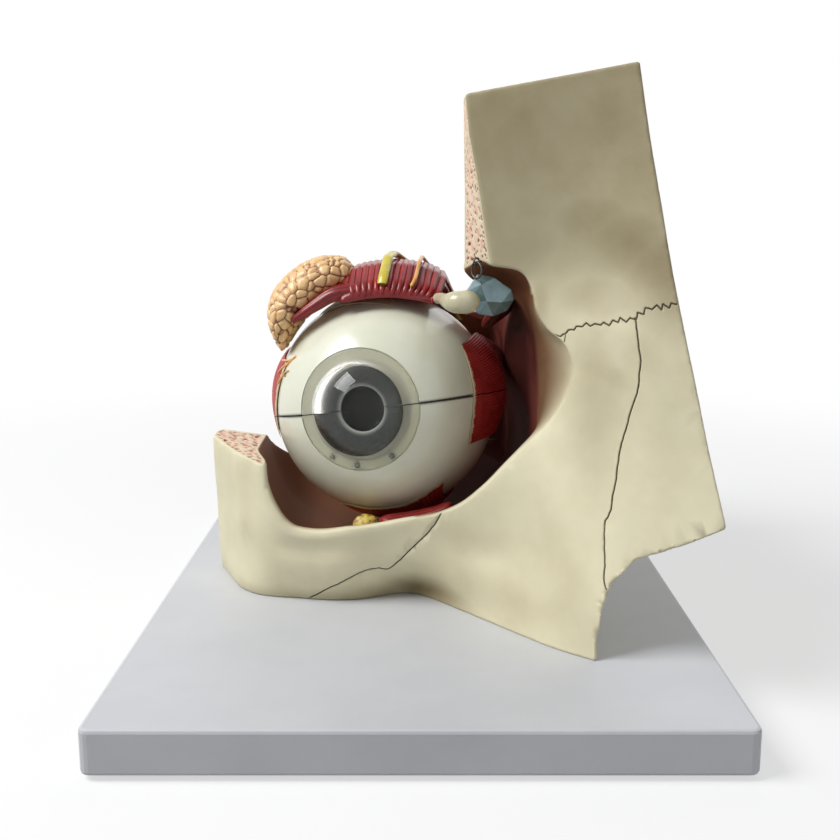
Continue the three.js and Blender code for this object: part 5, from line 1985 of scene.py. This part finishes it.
@dataclass
class Band:
    """A straight muscle: a thin fibrous band on the ball that leaves it behind.

    start is the angle in degrees from where it leaves the ball to its front edge, bow adds to it across the
    band, flare widens one corner of that edge, and tongue is the length behind the ball up to the split.
    """

    name: str
    towards: Triple
    start: float
    end: np.ndarray
    half_width: float
    thickness: float
    tongue: float
    split: Triple
    fibres: int = 40
    pale: float = 0.08
    bow: tuple[float, ...] = (0.0, 0.0)
    flare: float = 0.0
    relief: float = 0.3

    def path(self) -> None:
        """Works out where the band leaves the ball."""
        reach = self.end - EYE
        aim = reach / np.linalg.norm(reach)
        way = np.array(self.towards)
        side = way - aim * (way @ aim)
        side /= np.linalg.norm(side)
        self.aim, self.sideways = aim, side
        self.ride = BALL + FIT
        self.lift = math.acos(self.ride / np.linalg.norm(reach))
        self.across = np.cross(self.out(0.0), aim)
        self.across /= np.linalg.norm(self.across)
        tangent = EYE + self.out(0.0) * self.ride
        self.step = (self.end - tangent) / np.linalg.norm(self.end - tangent)
        normal = np.array(self.split)
        self.split_normal = normal / np.linalg.norm(normal)
        self.split_point = tangent + self.step * self.tongue - self.split_normal * 0.3

    def out(self, angle: float | np.ndarray) -> np.ndarray:
        """Returns the way out of the ball at an angle before the tangent point."""
        turn = np.asarray(self.lift + angle)[..., None]
        return self.aim * np.cos(turn) + self.sideways * np.sin(turn)

    def build(self, cuts: Sequence[tuple[np.ndarray, np.ndarray]], label: str) -> Piece:
        """Builds the band and trims it.

        Args:
            cuts: Planes as (point, normal); what lies on the normal's side goes.
            label: The piece's name.

        Returns:
            The trimmed object.
        """
        self.path()
        rng = np.random.default_rng(len(self.name) * 7)
        share = np.linspace(-1, 1, 6 * self.fibres + 1)
        drift = np.interp(np.linspace(0, 1, 50), np.linspace(0, 1, 9), rng.uniform(-0.5, 0.5, 9))
        ragged = np.interp(share, np.linspace(-1, 1, 2 * self.fibres), rng.uniform(0, 0.03, 2 * self.fibres))
        rows, valley, pale = [], [], []
        bow = np.interp(share, np.linspace(-1, 1, len(self.bow)), self.bow)
        run = 8.0 + self.tongue
        steps = [(True, s) for s in np.linspace(0, 1, 36) ** 1.4]
        steps += [(False, s) for s in np.linspace(0.06, 1, 12)]
        for index, (on_ball, s) in enumerate(steps):
            angle = np.radians(self.start + bow) * (1 - s) if on_ball else np.zeros_like(share)
            centre = EYE if on_ball else EYE + self.step * run * s
            grow = self.thickness
            if on_ball:
                grow = 0.25 + (self.thickness - 0.25) * self._smooth(s * 1.1 + 0.08)
            span = self.half_width * ((0.94 + 0.06 * s) if on_ball else (1 - 0.1 * s))
            wider = self.flare * (1 - s) ** 2 * np.clip(share, 0, 1) ** 2 if on_ball else 0.0
            spread = (share * span + wider) / self.ride
            phase = self.fibres * math.pi * share / 2 + drift[min(index, 49)]
            ridge = np.abs(np.sin(phase)) ** 0.8
            low = (1 - ridge) * self.relief * min(1, grow / 2)
            top = grow * (1 - 0.72 * share**2) - low
            top = np.maximum(top, 0.12)
            out = self.out(angle)
            ring = []
            for height in (top, np.zeros_like(top)):
                reach = self.ride + height
                ring.append(
                    centre
                    + out * (reach * np.cos(spread))[:, None]
                    + self.across * (reach * np.sin(spread))[:, None]
                )
            rows.append(np.vstack([ring[0], ring[1][::-1]]))
            # Painted shade in the grooves between the fibres.
            dip = np.clip(1.0 - ridge * 1.5, 0, 0.8)
            valley.append(np.concatenate([dip, np.zeros_like(dip)]))
            fade = np.clip(1.1 - (s - ragged) / self.pale, 0, 1) if on_ball else 0 * ragged
            pale.append(np.concatenate([fade, fade]))
        points, faces = loft(np.array(rows))
        shade = {"valley": np.concatenate(valley), "tendon": np.concatenate(pale)}
        piece = mesh_object(label, points, faces, [BAND_RED], shade)
        outward(piece)
        return self._trim(piece, [*cuts, (self.split_point, self.split_normal)])

    @staticmethod
    def _smooth(value: float) -> float:
        """Returns a smooth step from 0 to 1."""
        k = min(1.0, max(0.0, value))
        return k * k * (3 - 2 * k)

    @staticmethod
    def _trim(piece: Piece, cuts: Sequence[tuple[np.ndarray, np.ndarray]]) -> Piece:
        """Cuts off what lies past each plane and closes the cut.

        Args:
            piece: The band.
            cuts: Planes as (point, normal).

        Returns:
            The same object.
        """
        work = bmesh.new()
        work.from_mesh(piece.data)
        for point, normal in cuts:
            geometry = [*work.verts, *work.edges, *work.faces]
            bmesh.ops.bisect_plane(
                work, geom=geometry, plane_co=np.asarray(point) * METRES, plane_no=normal, clear_outer=True
            )
            rim = [e for e in work.edges if e.is_boundary]
            if rim:
                bmesh.ops.holes_fill(work, edges=rim, sides=0)
        bmesh.ops.recalc_face_normals(work, faces=work.faces)
        work.to_mesh(piece.data)
        work.free()
        piece.data.set_sharp_from_angle(angle=math.radians(50))
        return piece


@dataclass
class Muscles:
    """The straight muscles on the ball and the pieces behind them."""

    apex: Triple = (24.0, 78.0, 86.0)
    side_step: float = 8.6
    upper_cut: float = 1.9
    branch_height: float = 0.1
    mark_at: Triple = (-47.4, -13.6, 91.6)
    branches: tuple[tuple[Triple, ...], ...] = (
        ((-45.8, -16.8, 99.6), (-47.5, -15.2, 98.3), (-49.7, -11.4, 97.2), (-52.1, -4.2, 96.0)),
        ((-47.6, -15.2, 98.0), (-49.9, -12.8, 95.6), (-51.8, -9.7, 93.7), (-53.3, -7.0, 91.5)),
        ((-48.7, -16.9, 94.0), (-51.0, -13.4, 92.5), (-52.2, -12.3, 89.8), (-53.2, -11.0, 87.8)),
    )

    def build(self) -> None:
        """Builds the front bands, the nerve branches on the lateral band and the digit on the ball."""
        across = {
            "medial": np.array([1.0, 0, 0]) @ EYE_TURN.T,
            "lateral": np.array([-1.0, 0, 0]) @ EYE_TURN.T,
            "inferior": np.array([0, 0, -1.0]) @ EYE_TURN.T,
            "superior": np.array([0, 0, 1.0]) @ EYE_TURN.T,
        }
        seam = across["superior"]
        apex = np.array(self.apex)

        def lifted(key: str, share: float) -> np.ndarray:
            """Returns a way raised towards the top of the ball."""
            way = across[key] + seam * share
            return way / np.linalg.norm(way)

        def end(key: str) -> np.ndarray:
            """Returns the rear end of a band."""
            return apex + across[key] * self.side_step

        bands = [
            Band(
                "medial", lifted("medial", 0.1), start=39, end=end("medial"), half_width=19.5, thickness=4.2,
                tongue=10, split=(0, 1, -0.15), pale=0.035, bow=(1, 0, -1.5, -3.5, -6, -7, -8.5, -10, -11.5),
            ),
            Band(
                "lateral", lifted("lateral", 0.29), start=67, end=end("lateral"), half_width=15,
                thickness=4.2, tongue=14, split=(0.6, 0.78, -0.12), fibres=24, pale=0.04,
            ),
            Band(
                "inferior", across["inferior"], start=60, end=end("inferior"), half_width=16.5, thickness=4.2,
                tongue=10, split=(0.15, 0.97, -0.12), fibres=34, pale=0.03,
                bow=(-4, 1, 3, 0, -1.5, -3, -5.5, -5, -5.5), flare=13.0,
            ),
            Band(
                "superior", seam, start=42, end=np.array([12.0, 64.0, 97.0]), half_width=15, thickness=2.4,
                tongue=10, split=(0, 1, 0.05), fibres=36, pale=0.45,
            ),
        ]
        above = (EYE + seam * SEAM / 2, -seam)
        below = (EYE - seam * SEAM / 2, seam)
        for band in bands:
            if band.name in ("medial", "lateral"):
                for tag, cut in (("upper", above), ("lower", below)):
                    node = f"{band.name}_rectus_{tag}"
                    narrow = self.upper_cut if node == "medial_rectus_upper" else 0.0
                    strip = replace(band, half_width=band.half_width - narrow)
                    finish_piece(strip.build([cut], f"{node}_fibres"), node)
            else:
                node = f"{band.name}_rectus"
                finish_piece(band.build([], f"{node}_fibres"), node)
        self._branches(bpy.data.objects["lateral_rectus_upper_fibres"])
        self._mark()

    def _branches(self, band: Piece) -> None:
        """Lays the thin branches of a nerve on the lateral rectus and the ball before it.

        Args:
            band: The muscle that they lie on.
        """
        mesh, lines = band.data, []
        tree = BVHTree.FromPolygons([v.co for v in mesh.vertices], [p.vertices for p in mesh.polygons])
        for line in self.branches:
            points = curve_points(line, 32)
            way = (points - EYE) / np.linalg.norm(points - EYE, axis=1, keepdims=True)
            reach = []
            for one in way:
                hit = tree.ray_cast(Vector((EYE + one * 60) * METRES), Vector(-one))
                reach.append(BALL if hit[0] is None else 60 - hit[3] / METRES)
            smooth = np.convolve(np.pad(np.maximum(reach, BALL), 3, mode="edge"), np.ones(7) / 7, "valid")
            lines.append(EYE + way * (smooth + self.branch_height)[:, None])
        piece = strands("lateral_nerve_branches", lines, 0.42, THIN, sides=10, taper=0.5)
        finish_piece(piece, beside="lateral_rectus_upper")

    def _mark(self) -> None:
        """Paints a small plain digit, two rings on top of each other, on the white of the ball."""
        spot = np.array(self.mark_at)
        way = (spot - EYE) / np.linalg.norm(spot - EYE)
        right = np.cross([0.0, 0.0, 1.0], way)
        right /= np.linalg.norm(right)
        rise = np.cross(way, right)
        turn = np.linspace(0, 2 * math.pi, 25)
        lines = []
        for height, radius in ((0.62, 0.5), (-0.55, 0.62)):
            round_spot = np.outer(np.cos(turn), right) + np.outer(np.sin(turn), rise)
            flat = spot + radius * round_spot + height * rise
            out = (flat - EYE) / np.linalg.norm(flat - EYE, axis=1, keepdims=True)
            lines.append(EYE + out * BALL)
        piece = strands("ball_digit", lines, 0.16, PAD, taper=1.0)
        finish_piece(piece, beside="sclera_upper")


@dataclass
class LidLifter:
    """The thick muscle over the ball, with its tail and the nerves across it.

    Each section is its middle's x, y and z from the ball's centre, its half width and its thickness.
    """

    sections: tuple[Row, ...] = (
        (1.2, -20, 41.3, 15.8, 3), (1.8, -17.5, 43, 17.6, 5.6), (2.6, -8, 47.8, 18.4, 7.2),
        (3.6, 4, 48.8, 17.6, 7), (7.6, 20, 44.6, 15, 6.8),
        (14.1, 40, 36.2, 12, 6.2), (22.6, 62, 27.2, 8.4, 5.6),
    )
    sag: float = 100.0
    strand_pitch: float = 2.1
    strand_half: float = 17.4
    columns: int = 61
    tail: tuple[Triple, ...] = (
        (-7.4, -15.6, 42), (-17, -16.4, 40.8), (-23.4, -16.4, 37.2), (-32.4, -15.4, 31.2),
    )
    tail_radii: tuple[float, ...] = (3, 3, 2.7, 2.3, 1.9, 1.1)

    def section(self, y: float) -> np.ndarray:
        """Returns the interpolated section at a distance y from the ball's centre."""
        rows = np.array(self.sections)
        return np.array([np.interp(y, rows[:, 1], rows[:, k]) for k in range(5)])

    def top(self, share: float, y: float, sink: float = 0.0) -> np.ndarray:
        """Returns a point on the top, from the share of its half width, sunk by some millimetres.

        Args:
            share: Place across, from -1 to 1.
            y: Place along, from the ball's centre.
            sink: How far below the top.

        Returns:
            The point, in the CAD's frame.
        """
        x, _, z, half, thick = self.section(y)
        edge = math.sqrt(max(0.0, 1 - share**6))
        rise = thick / 2 * (0.35 + 0.65 * edge) - sink
        return EYE + np.array([x + share * half, y, z - (share * half) ** 2 / self.sag + rise])

    def build(self) -> None:
        """Builds the body, its fibres, its tail and both nerves."""
        rings = []
        for y in np.concatenate([np.linspace(-20, -8, 14), np.linspace(-6, 62, 34)]):
            x, _, z, half, thick = self.section(y)
            share = np.linspace(-1, 1, self.columns)
            edge = np.sqrt(np.clip(1 - share**6, 0, 1))
            sag = (share * half) ** 2 / self.sag
            rise = thick / 2 * (0.35 + 0.65 * edge)
            fine = 0.12 * (1 - np.abs(np.sin(share * half * math.pi / 1.05)))
            level = np.full(self.columns, y)
            upper = np.stack([x + share * half, level, z - sag + rise - 0.75], axis=1)
            lower = np.stack([x + share * half, level, z - sag - rise + fine], axis=1)
            rings.append(np.vstack([upper, lower[::-1]]) + EYE)
        points, faces = loft(np.array(rings))
        # The body gets even painted shade, under its strands and on its front face.
        shade = {"valley": np.full(len(points), 0.35), "tendon": np.zeros(len(points))}
        body = mesh_object("levator_body", points, faces, [RED], shade)
        outward(body)
        bevelled(body, 0.4, segments=3, angle=50)
        finish_piece(body, "levator_palpebrae")
        self._fibres()
        self._tail()
        self._nerves()

    def _fibres(self) -> None:
        """Lays rounded strands side by side along the top."""
        rng = np.random.default_rng(3)
        count = int(2 * self.strand_half / self.strand_pitch)
        lines = []
        for k in range(count + 1):
            share = (-1 + 2 * k / count) * 0.965
            start = -19.6 + rng.uniform(0, 0.5) + (2.5 if k < 2 else 0.0)
            rows = np.concatenate([np.linspace(start, -8, 16), np.linspace(-6.5, 61, 30)])
            line = [self.top(share + 0.006 * math.sin(y * 0.25 + k), y, 1.3) for y in rows]
            front = [np.array(line[0]) + step for step in ([0, 0.5, -1.2], [0, 0.0, -0.6])]
            lines.append(np.array([*front, *line]))
        piece = strands("levator_strands", lines, 1.4, RED, sides=12, taper=0.55)
        finish_piece(piece, beside="levator_palpebrae")

    def _tail(self) -> None:
        """Builds the tail that runs out sideways under the gland."""
        points = [tuple(EYE + np.array(p)) for p in self.tail]
        steps, sides = 64, 48
        rings = tube_rings(points, self.tail_radii, steps, sides)
        run = np.arange(steps)[:, None]
        turn = np.linspace(0, 2 * math.pi, sides, endpoint=False)
        middle = rings.mean(axis=1, keepdims=True)
        dip = 1 - np.abs(np.sin(run * 0.012 + turn[None] * 4.5))
        points, faces = loft(middle + (rings - middle) * (1 - 0.1 * dip)[..., None])
        # Painted shade in the tail's grooves.
        shade = {"valley": dip.ravel() * 0.9, "tendon": np.zeros(len(points))}
        piece = mesh_object("levator_tail", points, faces, [RED], shade)
        finish_piece(outward(piece), beside="levator_palpebrae")

    def _nerves(self) -> None:
        """Builds the wide and the thin nerve that lie across the muscle."""
        rows = [-20, -17.5, -13, -8, -2, 4, 12, 20, 30, 40]
        for node, share, drift, radius, flat, finish in (
            ("supraorbital_nerve", -0.1, 0.2, 1.8, 0.5, NERVE),
            ("supratrochlear_nerve", 0.52, 0.1, 0.7, 0.8, THIN),
        ):
            lift = [0, 0, radius * flat + 2.6 * FIT]
            line = [self.top(share + drift * (y + 19) / 59, y) + lift for y in rows]
            rings = tube_rings(line, [radius, radius], 90, 20, (flat, flat), 0.2 if finish is NERVE else 1.0)
            points, faces = loft(rings)
            piece = outward(mesh_object(f"{node}_cord", points, faces, [finish, NERVE_END]))
            if finish is NERVE:
                ends = [polygon for polygon in piece.data.polygons if len(polygon.vertices) > 4]
                front = min(ends, key=lambda polygon: polygon.center.y)
                front.material_index = 1
                piece.data.set_sharp_from_angle(angle=math.radians(35))
            finish_piece(piece, node)


@dataclass
class Gland:
    """The lobed tear gland round the tail.

    outline is its outer edge, as an angle in degrees and a distance from the ball's centre.
    """

    outline: Outline = (
        (152, 43.5), (148, 47.4), (144, 51.8), (140, 54.8), (134, 57.4), (127, 58.6), (119, 59), (112, 58),
        (106, 55.8), (101.5, 53),
    )
    inner: tuple[float, float] = (40.6, 45.5)
    half_depth: float = 13.5
    lobules: float = 255.0
    groove: tuple[float, float] = (0.0011, 0.2)
    rings: int = 110
    sides: int = 120

    def build(self) -> None:
        """Builds the body and raises its lobules."""
        knots = np.array(self.outline)
        at = np.linspace(0, len(knots) - 1, self.rings)
        degrees = np.interp(at, range(len(knots)), knots[:, 0])
        outer = np.interp(at, range(len(knots)), knots[:, 1])
        outer = np.convolve(np.pad(outer, 6, mode="edge"), np.ones(13) / 13, "valid") * 0.5 + outer * 0.5
        share = at / (len(knots) - 1)
        inner = self.inner[0] + (self.inner[1] - self.inner[0]) * share**2
        swell = np.sqrt(np.maximum(0.02, 1 - (2 * share - 1) ** 2))
        turn = np.linspace(0, 2 * math.pi, self.sides, endpoint=False)
        middle, reach = (outer + inner) / 2, (outer - inner) / 2
        fat = np.minimum(1, swell * 1.8)
        radial = middle[:, None] + (reach * fat)[:, None] * np.cos(turn)
        wall = np.radians(degrees)[:, None]
        own = np.stack(
            [
                radial * np.cos(wall),
                -4 + self.half_depth * swell[:, None] * np.sin(turn),
                radial * np.sin(wall),
            ],
            axis=-1,
        )
        away = np.linalg.norm(own, axis=-1, keepdims=True)
        own = own * np.maximum(1, (BALL + 1.0) / away)
        points, faces = loft(own + EYE)
        piece = outward(mesh_object("lacrimal_gland_lobules", points, faces, [GLAND]))
        Trees.apply(
            piece, Trees.pillows(), Lobules_per_Metre=self.lobules, Groove_Depth=self.groove[0],
            Groove_Width=self.groove[1], Finish=material_of(GLAND),
        )
        finish_piece(piece, "lacrimal_gland")


@dataclass
class Pulley:
    """The pulley of the oblique muscle, its wire ring and screw eye, and the tendon before it.

    outline is (x from the ring, drop below the top). The front facets join its corners, given by number, and
    the three points of the crest, a, b and c, each as (x, depth behind the front, drop).
    """

    ring_x: float = 18.6
    top: float = 127.0
    front: float = -33.0
    depth: float = 8.0
    outline: Outline = (
        (0.4, 0), (-3, 5.4), (-2.8, 9), (0.9, 13), (5.8, 13.8), (10.4, 12), (12.6, 8.4), (11.8, 5), (6, 1),
    )
    wire: float = 0.35
    # Facets that get the shaded copy of the finish: painted shade.
    shaded_facets: tuple[int, ...] = (12, 5, 6, 7, 2)
    crest: tuple[Triple, ...] = ((1.6, 1.4, 3.2), (3.4, 0.0, 8.6), (8.4, 0.9, 9.0))
    facets: tuple[tuple[int | str, ...], ...] = (
        (0, 1, "a"), (1, 2, "a"), (2, "b", "a"), (2, 3, "b"), (3, 4, "b"), (4, "c", "b"), (4, 5, "c"),
        (5, 6, "c"), (6, 7, "c"), (7, 8, "c"), (8, "a", "c"), ("a", "b", "c"), (8, 0, "a"),
    )
    wire_plane: float = -31.5
    ring_radius: float = 2.65
    ring_rise: float = 1.55
    eye_radius: float = 1.1
    shaft: float = 6.0
    turn: float = 35.5
    tendon: tuple[Triple, ...] = (
        (5.6, -15.2, 118.0), (7.4, -21.5, 118.5), (9.0, -31.0, 118.4), (12.6, -36.2, 118.4),
        (19.6, -35.6, 118.8),
    )
    tendon_radii: Row = (1.8, 1.9, 1.9, 2.0, 2.6, 3.6, 3.9, 3.4)

    def build(self) -> None:
        """Builds all four pieces."""
        self._block()
        turn = math.radians(self.turn)
        self._ring(turn + math.pi / 2)
        self._eye(turn)
        rings = tube_rings(self.tendon, self.tendon_radii, 90, 32)
        tendon = outward(mesh_object("superior_oblique_tendon_cast", *loft(rings), [TENDON]))
        finish_piece(tendon, "superior_oblique_tendon")

    def _block(self) -> None:
        """Builds the faceted pulley."""
        corners = [(self.ring_x + x, self.top - drop) for x, drop in self.outline]
        mx, mz = np.mean(corners, axis=0)
        back = self.front + self.depth
        points = []
        for y, size in ((back, 0.8), (back - 1.6, 1.0), (self.front + 3.2, 1.0)):
            points += [(mx + (x - mx) * size, y, mz + (z - mz) * size) for x, z in corners]
        count, first = len(corners), len(points)
        points += [(self.ring_x + x, self.front + y, self.top - drop) for x, y, drop in self.crest]
        faces = [list(range(count))]
        for row in range(2):
            for k in range(count):
                a, b = row * count + k, row * count + (k + 1) % count
                faces.append([a, b, b + count, a + count])
        number = {k: 2 * count + k for k in range(count)} | {"a": first, "b": first + 1, "c": first + 2}
        faces += [[number[corner] for corner in facet] for facet in self.facets]
        piece = outward(mesh_object("trochlea_faceted", np.array(points), faces, [PULLEY, PULLEY_SHADED]))
        # Painted shade on these facets.
        for index in self.shaded_facets:
            piece.data.polygons[len(faces) - len(self.facets) + index].material_index = 1
        piece.data.shade_flat()
        bevelled(piece, 0.16, angle=8)
        finish_piece(piece, "trochlea")

    def _loop(self, radius: float, height: float, turn: float, angles: np.ndarray) -> np.ndarray:
        """Returns the points of an upright wire loop.

        Args:
            radius: Its radius.
            height: Its centre's height.
            turn: The way it faces.
            angles: The angles round it.

        Returns:
            Array of (angle, 3).
        """
        way = np.array([math.cos(turn), math.sin(turn), 0.0])
        centre = np.array([self.ring_x, self.wire_plane, height])
        steps = [way * math.cos(a) + np.array([0, 0, math.sin(a)]) for a in angles]
        return np.array([centre + radius * step for step in steps])

    def _ring(self, turn: float) -> None:
        """Builds the wire ring that stands on the pulley.

        Args:
            turn: The way it faces.
        """
        angles = np.linspace(0, 2 * math.pi, 48)
        line = self._loop(self.ring_radius, self.top + self.ring_rise, turn, angles)
        piece = strands("trochlea_ring_wire", [line], self.wire, WIRE, sides=10, taper=1.0)
        finish_piece(piece, "trochlea_ring")

    def _eye(self, turn: float) -> None:
        """Builds the screw eye that holds the ring, with its shaft in the bone.

        Args:
            turn: The way of its loop and shaft.
        """
        height = self.top + self.ring_rise + self.ring_radius + 0.2
        loop = self._loop(self.eye_radius, height, turn, np.linspace(0.2, 2 * math.pi + 0.1, 30))
        way = np.array([math.cos(turn), math.sin(turn), 0.0])
        centre = np.array([self.ring_x, self.wire_plane, height])
        shaft = np.array([centre + way * d for d in np.linspace(self.eye_radius, self.shaft, 6)])
        piece = strands("hook_eye_wire", [loop, shaft], self.wire, WIRE, sides=10, taper=0.9)
        finish_piece(piece, "hook_eye")


@dataclass
class FloorPieces:
    """The nerve and the oblique muscle on the floor of the orbit."""

    nerve: tuple[Triple, ...] = ((-18.8, -27.4, 41), (-18.8, -15, 34.4), (-17, 4, 31.4), (-13, 18, 31.7))
    nerve_radii: Row = (4.7, 4.2, 3.7, 3.5, 3.3, 3.1, 2.9)
    nerve_flats: Row = (0.8, 0.76, 0.58, 0.43, 0.4, 0.4, 0.4)
    nerve_rough: float = 0.09
    oblique: tuple[Triple, ...] = ((11, -31.8, 49.2), (5, -31.2, 46.4), (-4, -30.4, 44), (-14, -30.4, 43))
    oblique_radii: Row = (2.5, 3.1, 3.5, 3.7, 3.5, 2.7)
    oblique_flat: float = 0.53

    def build(self) -> None:
        """Builds both pieces."""
        rings = tube_rings(self.nerve, self.nerve_radii, 60, 32, self.nerve_flats, 0.3)
        rings = rings + np.random.default_rng(9).normal(0, self.nerve_rough, rings.shape)
        nerve = outward(mesh_object("infraorbital_nerve_cord", *loft(rings), [FLOOR_NERVE]))
        finish_piece(nerve, "infraorbital_nerve")
        steps, sides = 60, 40
        flats = (self.oblique_flat, self.oblique_flat)
        rings = tube_rings(self.oblique, self.oblique_radii, steps, sides, flats)
        ridge = np.abs(np.sin(np.linspace(0, 2 * math.pi, sides, endpoint=False) * 5))
        middle = rings.mean(axis=1, keepdims=True)
        points, faces = loft(middle + (rings - middle) * (0.95 + 0.05 * ridge)[None, :, None])
        # Painted shade in the grooves between the ridges.
        dip = np.tile(np.clip(1.1 - 1.6 * ridge, 0, 1), steps)
        shade = {"valley": dip, "tendon": np.zeros(dip.size)}
        muscle = outward(mesh_object("inferior_oblique_fibres", points, faces, [RED], shade))
        finish_piece(muscle, "inferior_oblique")


@dataclass
class KeptNodes:
    """CAD nodes that keep their shape and get a better finish."""

    finishes: dict[str, Finish] = field(
        default_factory=lambda: {
            "medial_rectus_rear": REAR_RED, "lateral_rectus_rear": REAR_RED, "inferior_rectus_rear": REAR_RED,
            "superior_rectus_rear": REAR_RED, "superior_oblique_belly": REAR_RED, "optic_nerve": OPTIC,
            "base_board": BOARD, "foot_pad": PAD, "bone_screw": STEEL,
        }
    )

    def build(self) -> None:
        """Gives each kept node its finish."""
        for name, piece in frame["nodes"].items():
            for start, finish in self.finishes.items():
                if name.startswith(start) and not piece.hide_render:
                    piece.data.materials.clear()
                    piece.data.materials.append(material_of(finish))


@dataclass
class Studio:
    """Camera, floor and soft lights."""

    camera_place: Triple = (0.0, -396.577, 147.380)
    pitch: float = 10.7077
    lens: float = 47.14
    key: float = 11.6
    fill: float = 1.0
    rim: float = 1.0
    sky: float = 0.2
    floor_half: float = 6000.0
    floor_drop: float = 0.05

    def build(self) -> None:
        """Builds the studio."""
        scene = bpy.context.scene
        scene.view_settings.view_transform = "Standard"
        camera = bpy.data.objects.new("camera", bpy.data.cameras.new("camera"))
        camera.data.lens = self.lens
        camera.data.sensor_width = 36.0
        camera.data.clip_start = 0.01
        camera.location = Vector(self.camera_place) * METRES
        camera.rotation_euler = (math.radians(90 - self.pitch), 0, 0)
        scene.collection.objects.link(camera)
        scene.camera = camera
        for name, place, aim, size, power in (
            ("key", (-690, -260, 880), (0, 0, 80), 560, self.key),
            ("fill", (650, -700, 300), (0, 0, 80), 700, self.fill),
            ("back", (300, 700, 700), (0, 0, 80), 600, self.rim),
        ):
            lamp = bpy.data.lights.new(name, "AREA")
            lamp.size = size * METRES
            lamp.energy = power
            holder = bpy.data.objects.new(name, lamp)
            holder.location = Vector(place) * METRES
            holder.rotation_euler = (Vector(aim) - Vector(place)).to_track_quat("-Z", "Y").to_euler()
            scene.collection.objects.link(holder)
        self._world()
        self._floor()

    def _world(self) -> None:
        """Makes a white surround that lights softly."""
        world = bpy.data.worlds.new("surround")
        bpy.context.scene.world = world
        world.use_nodes = True
        world.node_tree.nodes.clear()
        nodes = Nodes(world.node_tree)
        seen = nodes.node("ShaderNodeBackground", None, Color=(1.0, 1.0, 1.0), Strength=1.0)
        unseen = nodes.node("ShaderNodeBackground", None, Color=(0.95, 0.97, 1.0), Strength=self.sky)
        path = nodes.node("ShaderNodeLightPath").outputs
        joined = path["Is Camera Ray"]
        for kind in ("Is Glossy Ray", "Is Transmission Ray"):
            either = nodes.node("ShaderNodeMath", {"operation": "MAXIMUM"}, i0=joined, i1=path[kind])
            joined = either.outputs[0]
        mix = nodes.node("ShaderNodeMixShader", None, i0=joined, i1=unseen.outputs[0], i2=seen.outputs[0])
        nodes.node("ShaderNodeOutputWorld", None, Surface=mix.outputs[0])

    def _floor(self) -> None:
        """Makes a pale floor that keeps a soft shadow."""
        half = self.floor_half
        corner = np.array([(-half, -half, 0), (half, -half, 0), (half, half, 0), (-half, half, 0)])
        floor = mesh_object("floor", corner - [0, 0, self.floor_drop], [[0, 1, 2, 3]], [])
        material = bpy.data.materials.new("floor_white")
        material.use_nodes = True
        floor.data.materials.append(material)
        graph = Graph(material)
        bounce = graph.node("ShaderNodeBsdfDiffuse", None, Color=(0.42, 0.42, 0.42)).outputs[0]
        seen = graph.node("ShaderNodeBsdfDiffuse", None, Color=(0.95, 0.95, 0.95)).outputs[0]
        glow = graph.node("ShaderNodeEmission", None, Color=(1.0, 1.0, 1.0), Strength=1.0).outputs[0]
        path = graph.node("ShaderNodeLightPath").outputs
        at = graph.node("ShaderNodeTexCoord").outputs["Object"]
        length = graph.node("ShaderNodeVectorMath", {"operation": "LENGTH"}, i0=at)
        reach = Number(graph, length.outputs["Value"])
        rays = Number(graph, path["Is Camera Ray"]) + path["Is Glossy Ray"] + path["Is Transmission Ray"]
        fade = reach.ramp(0.15, 0.6) * 0.4 + 0.6
        white = graph.node("ShaderNodeMixShader", None, i0=fade, i1=seen, i2=glow).outputs[0]
        mix = graph.node("ShaderNodeMixShader", None, i0=rays.ramp(0.0, 1.0), i1=bounce, i2=white)
        graph.feed(graph.output.inputs["Surface"], mix.outputs[0])


def corners(box: tuple[Vector, Vector]) -> list[list[float]]:
    """Returns a box's two corners as plain lists."""
    return [list(map(float, corner)) for corner in box]


def main() -> None:
    """Builds the studio and every piece."""
    logging.basicConfig(level=logging.INFO, format="%(message)s")
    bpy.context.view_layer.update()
    parts = (Studio, OrbitBone, EyeBall, Muscles, LidLifter, Gland, Pulley, FloorPieces, KeptNodes)
    for part in (made() for made in parts):
        part.build()
        LOG.info("built %s", type(part).__name__)


if __name__ == "__main__":
    main()
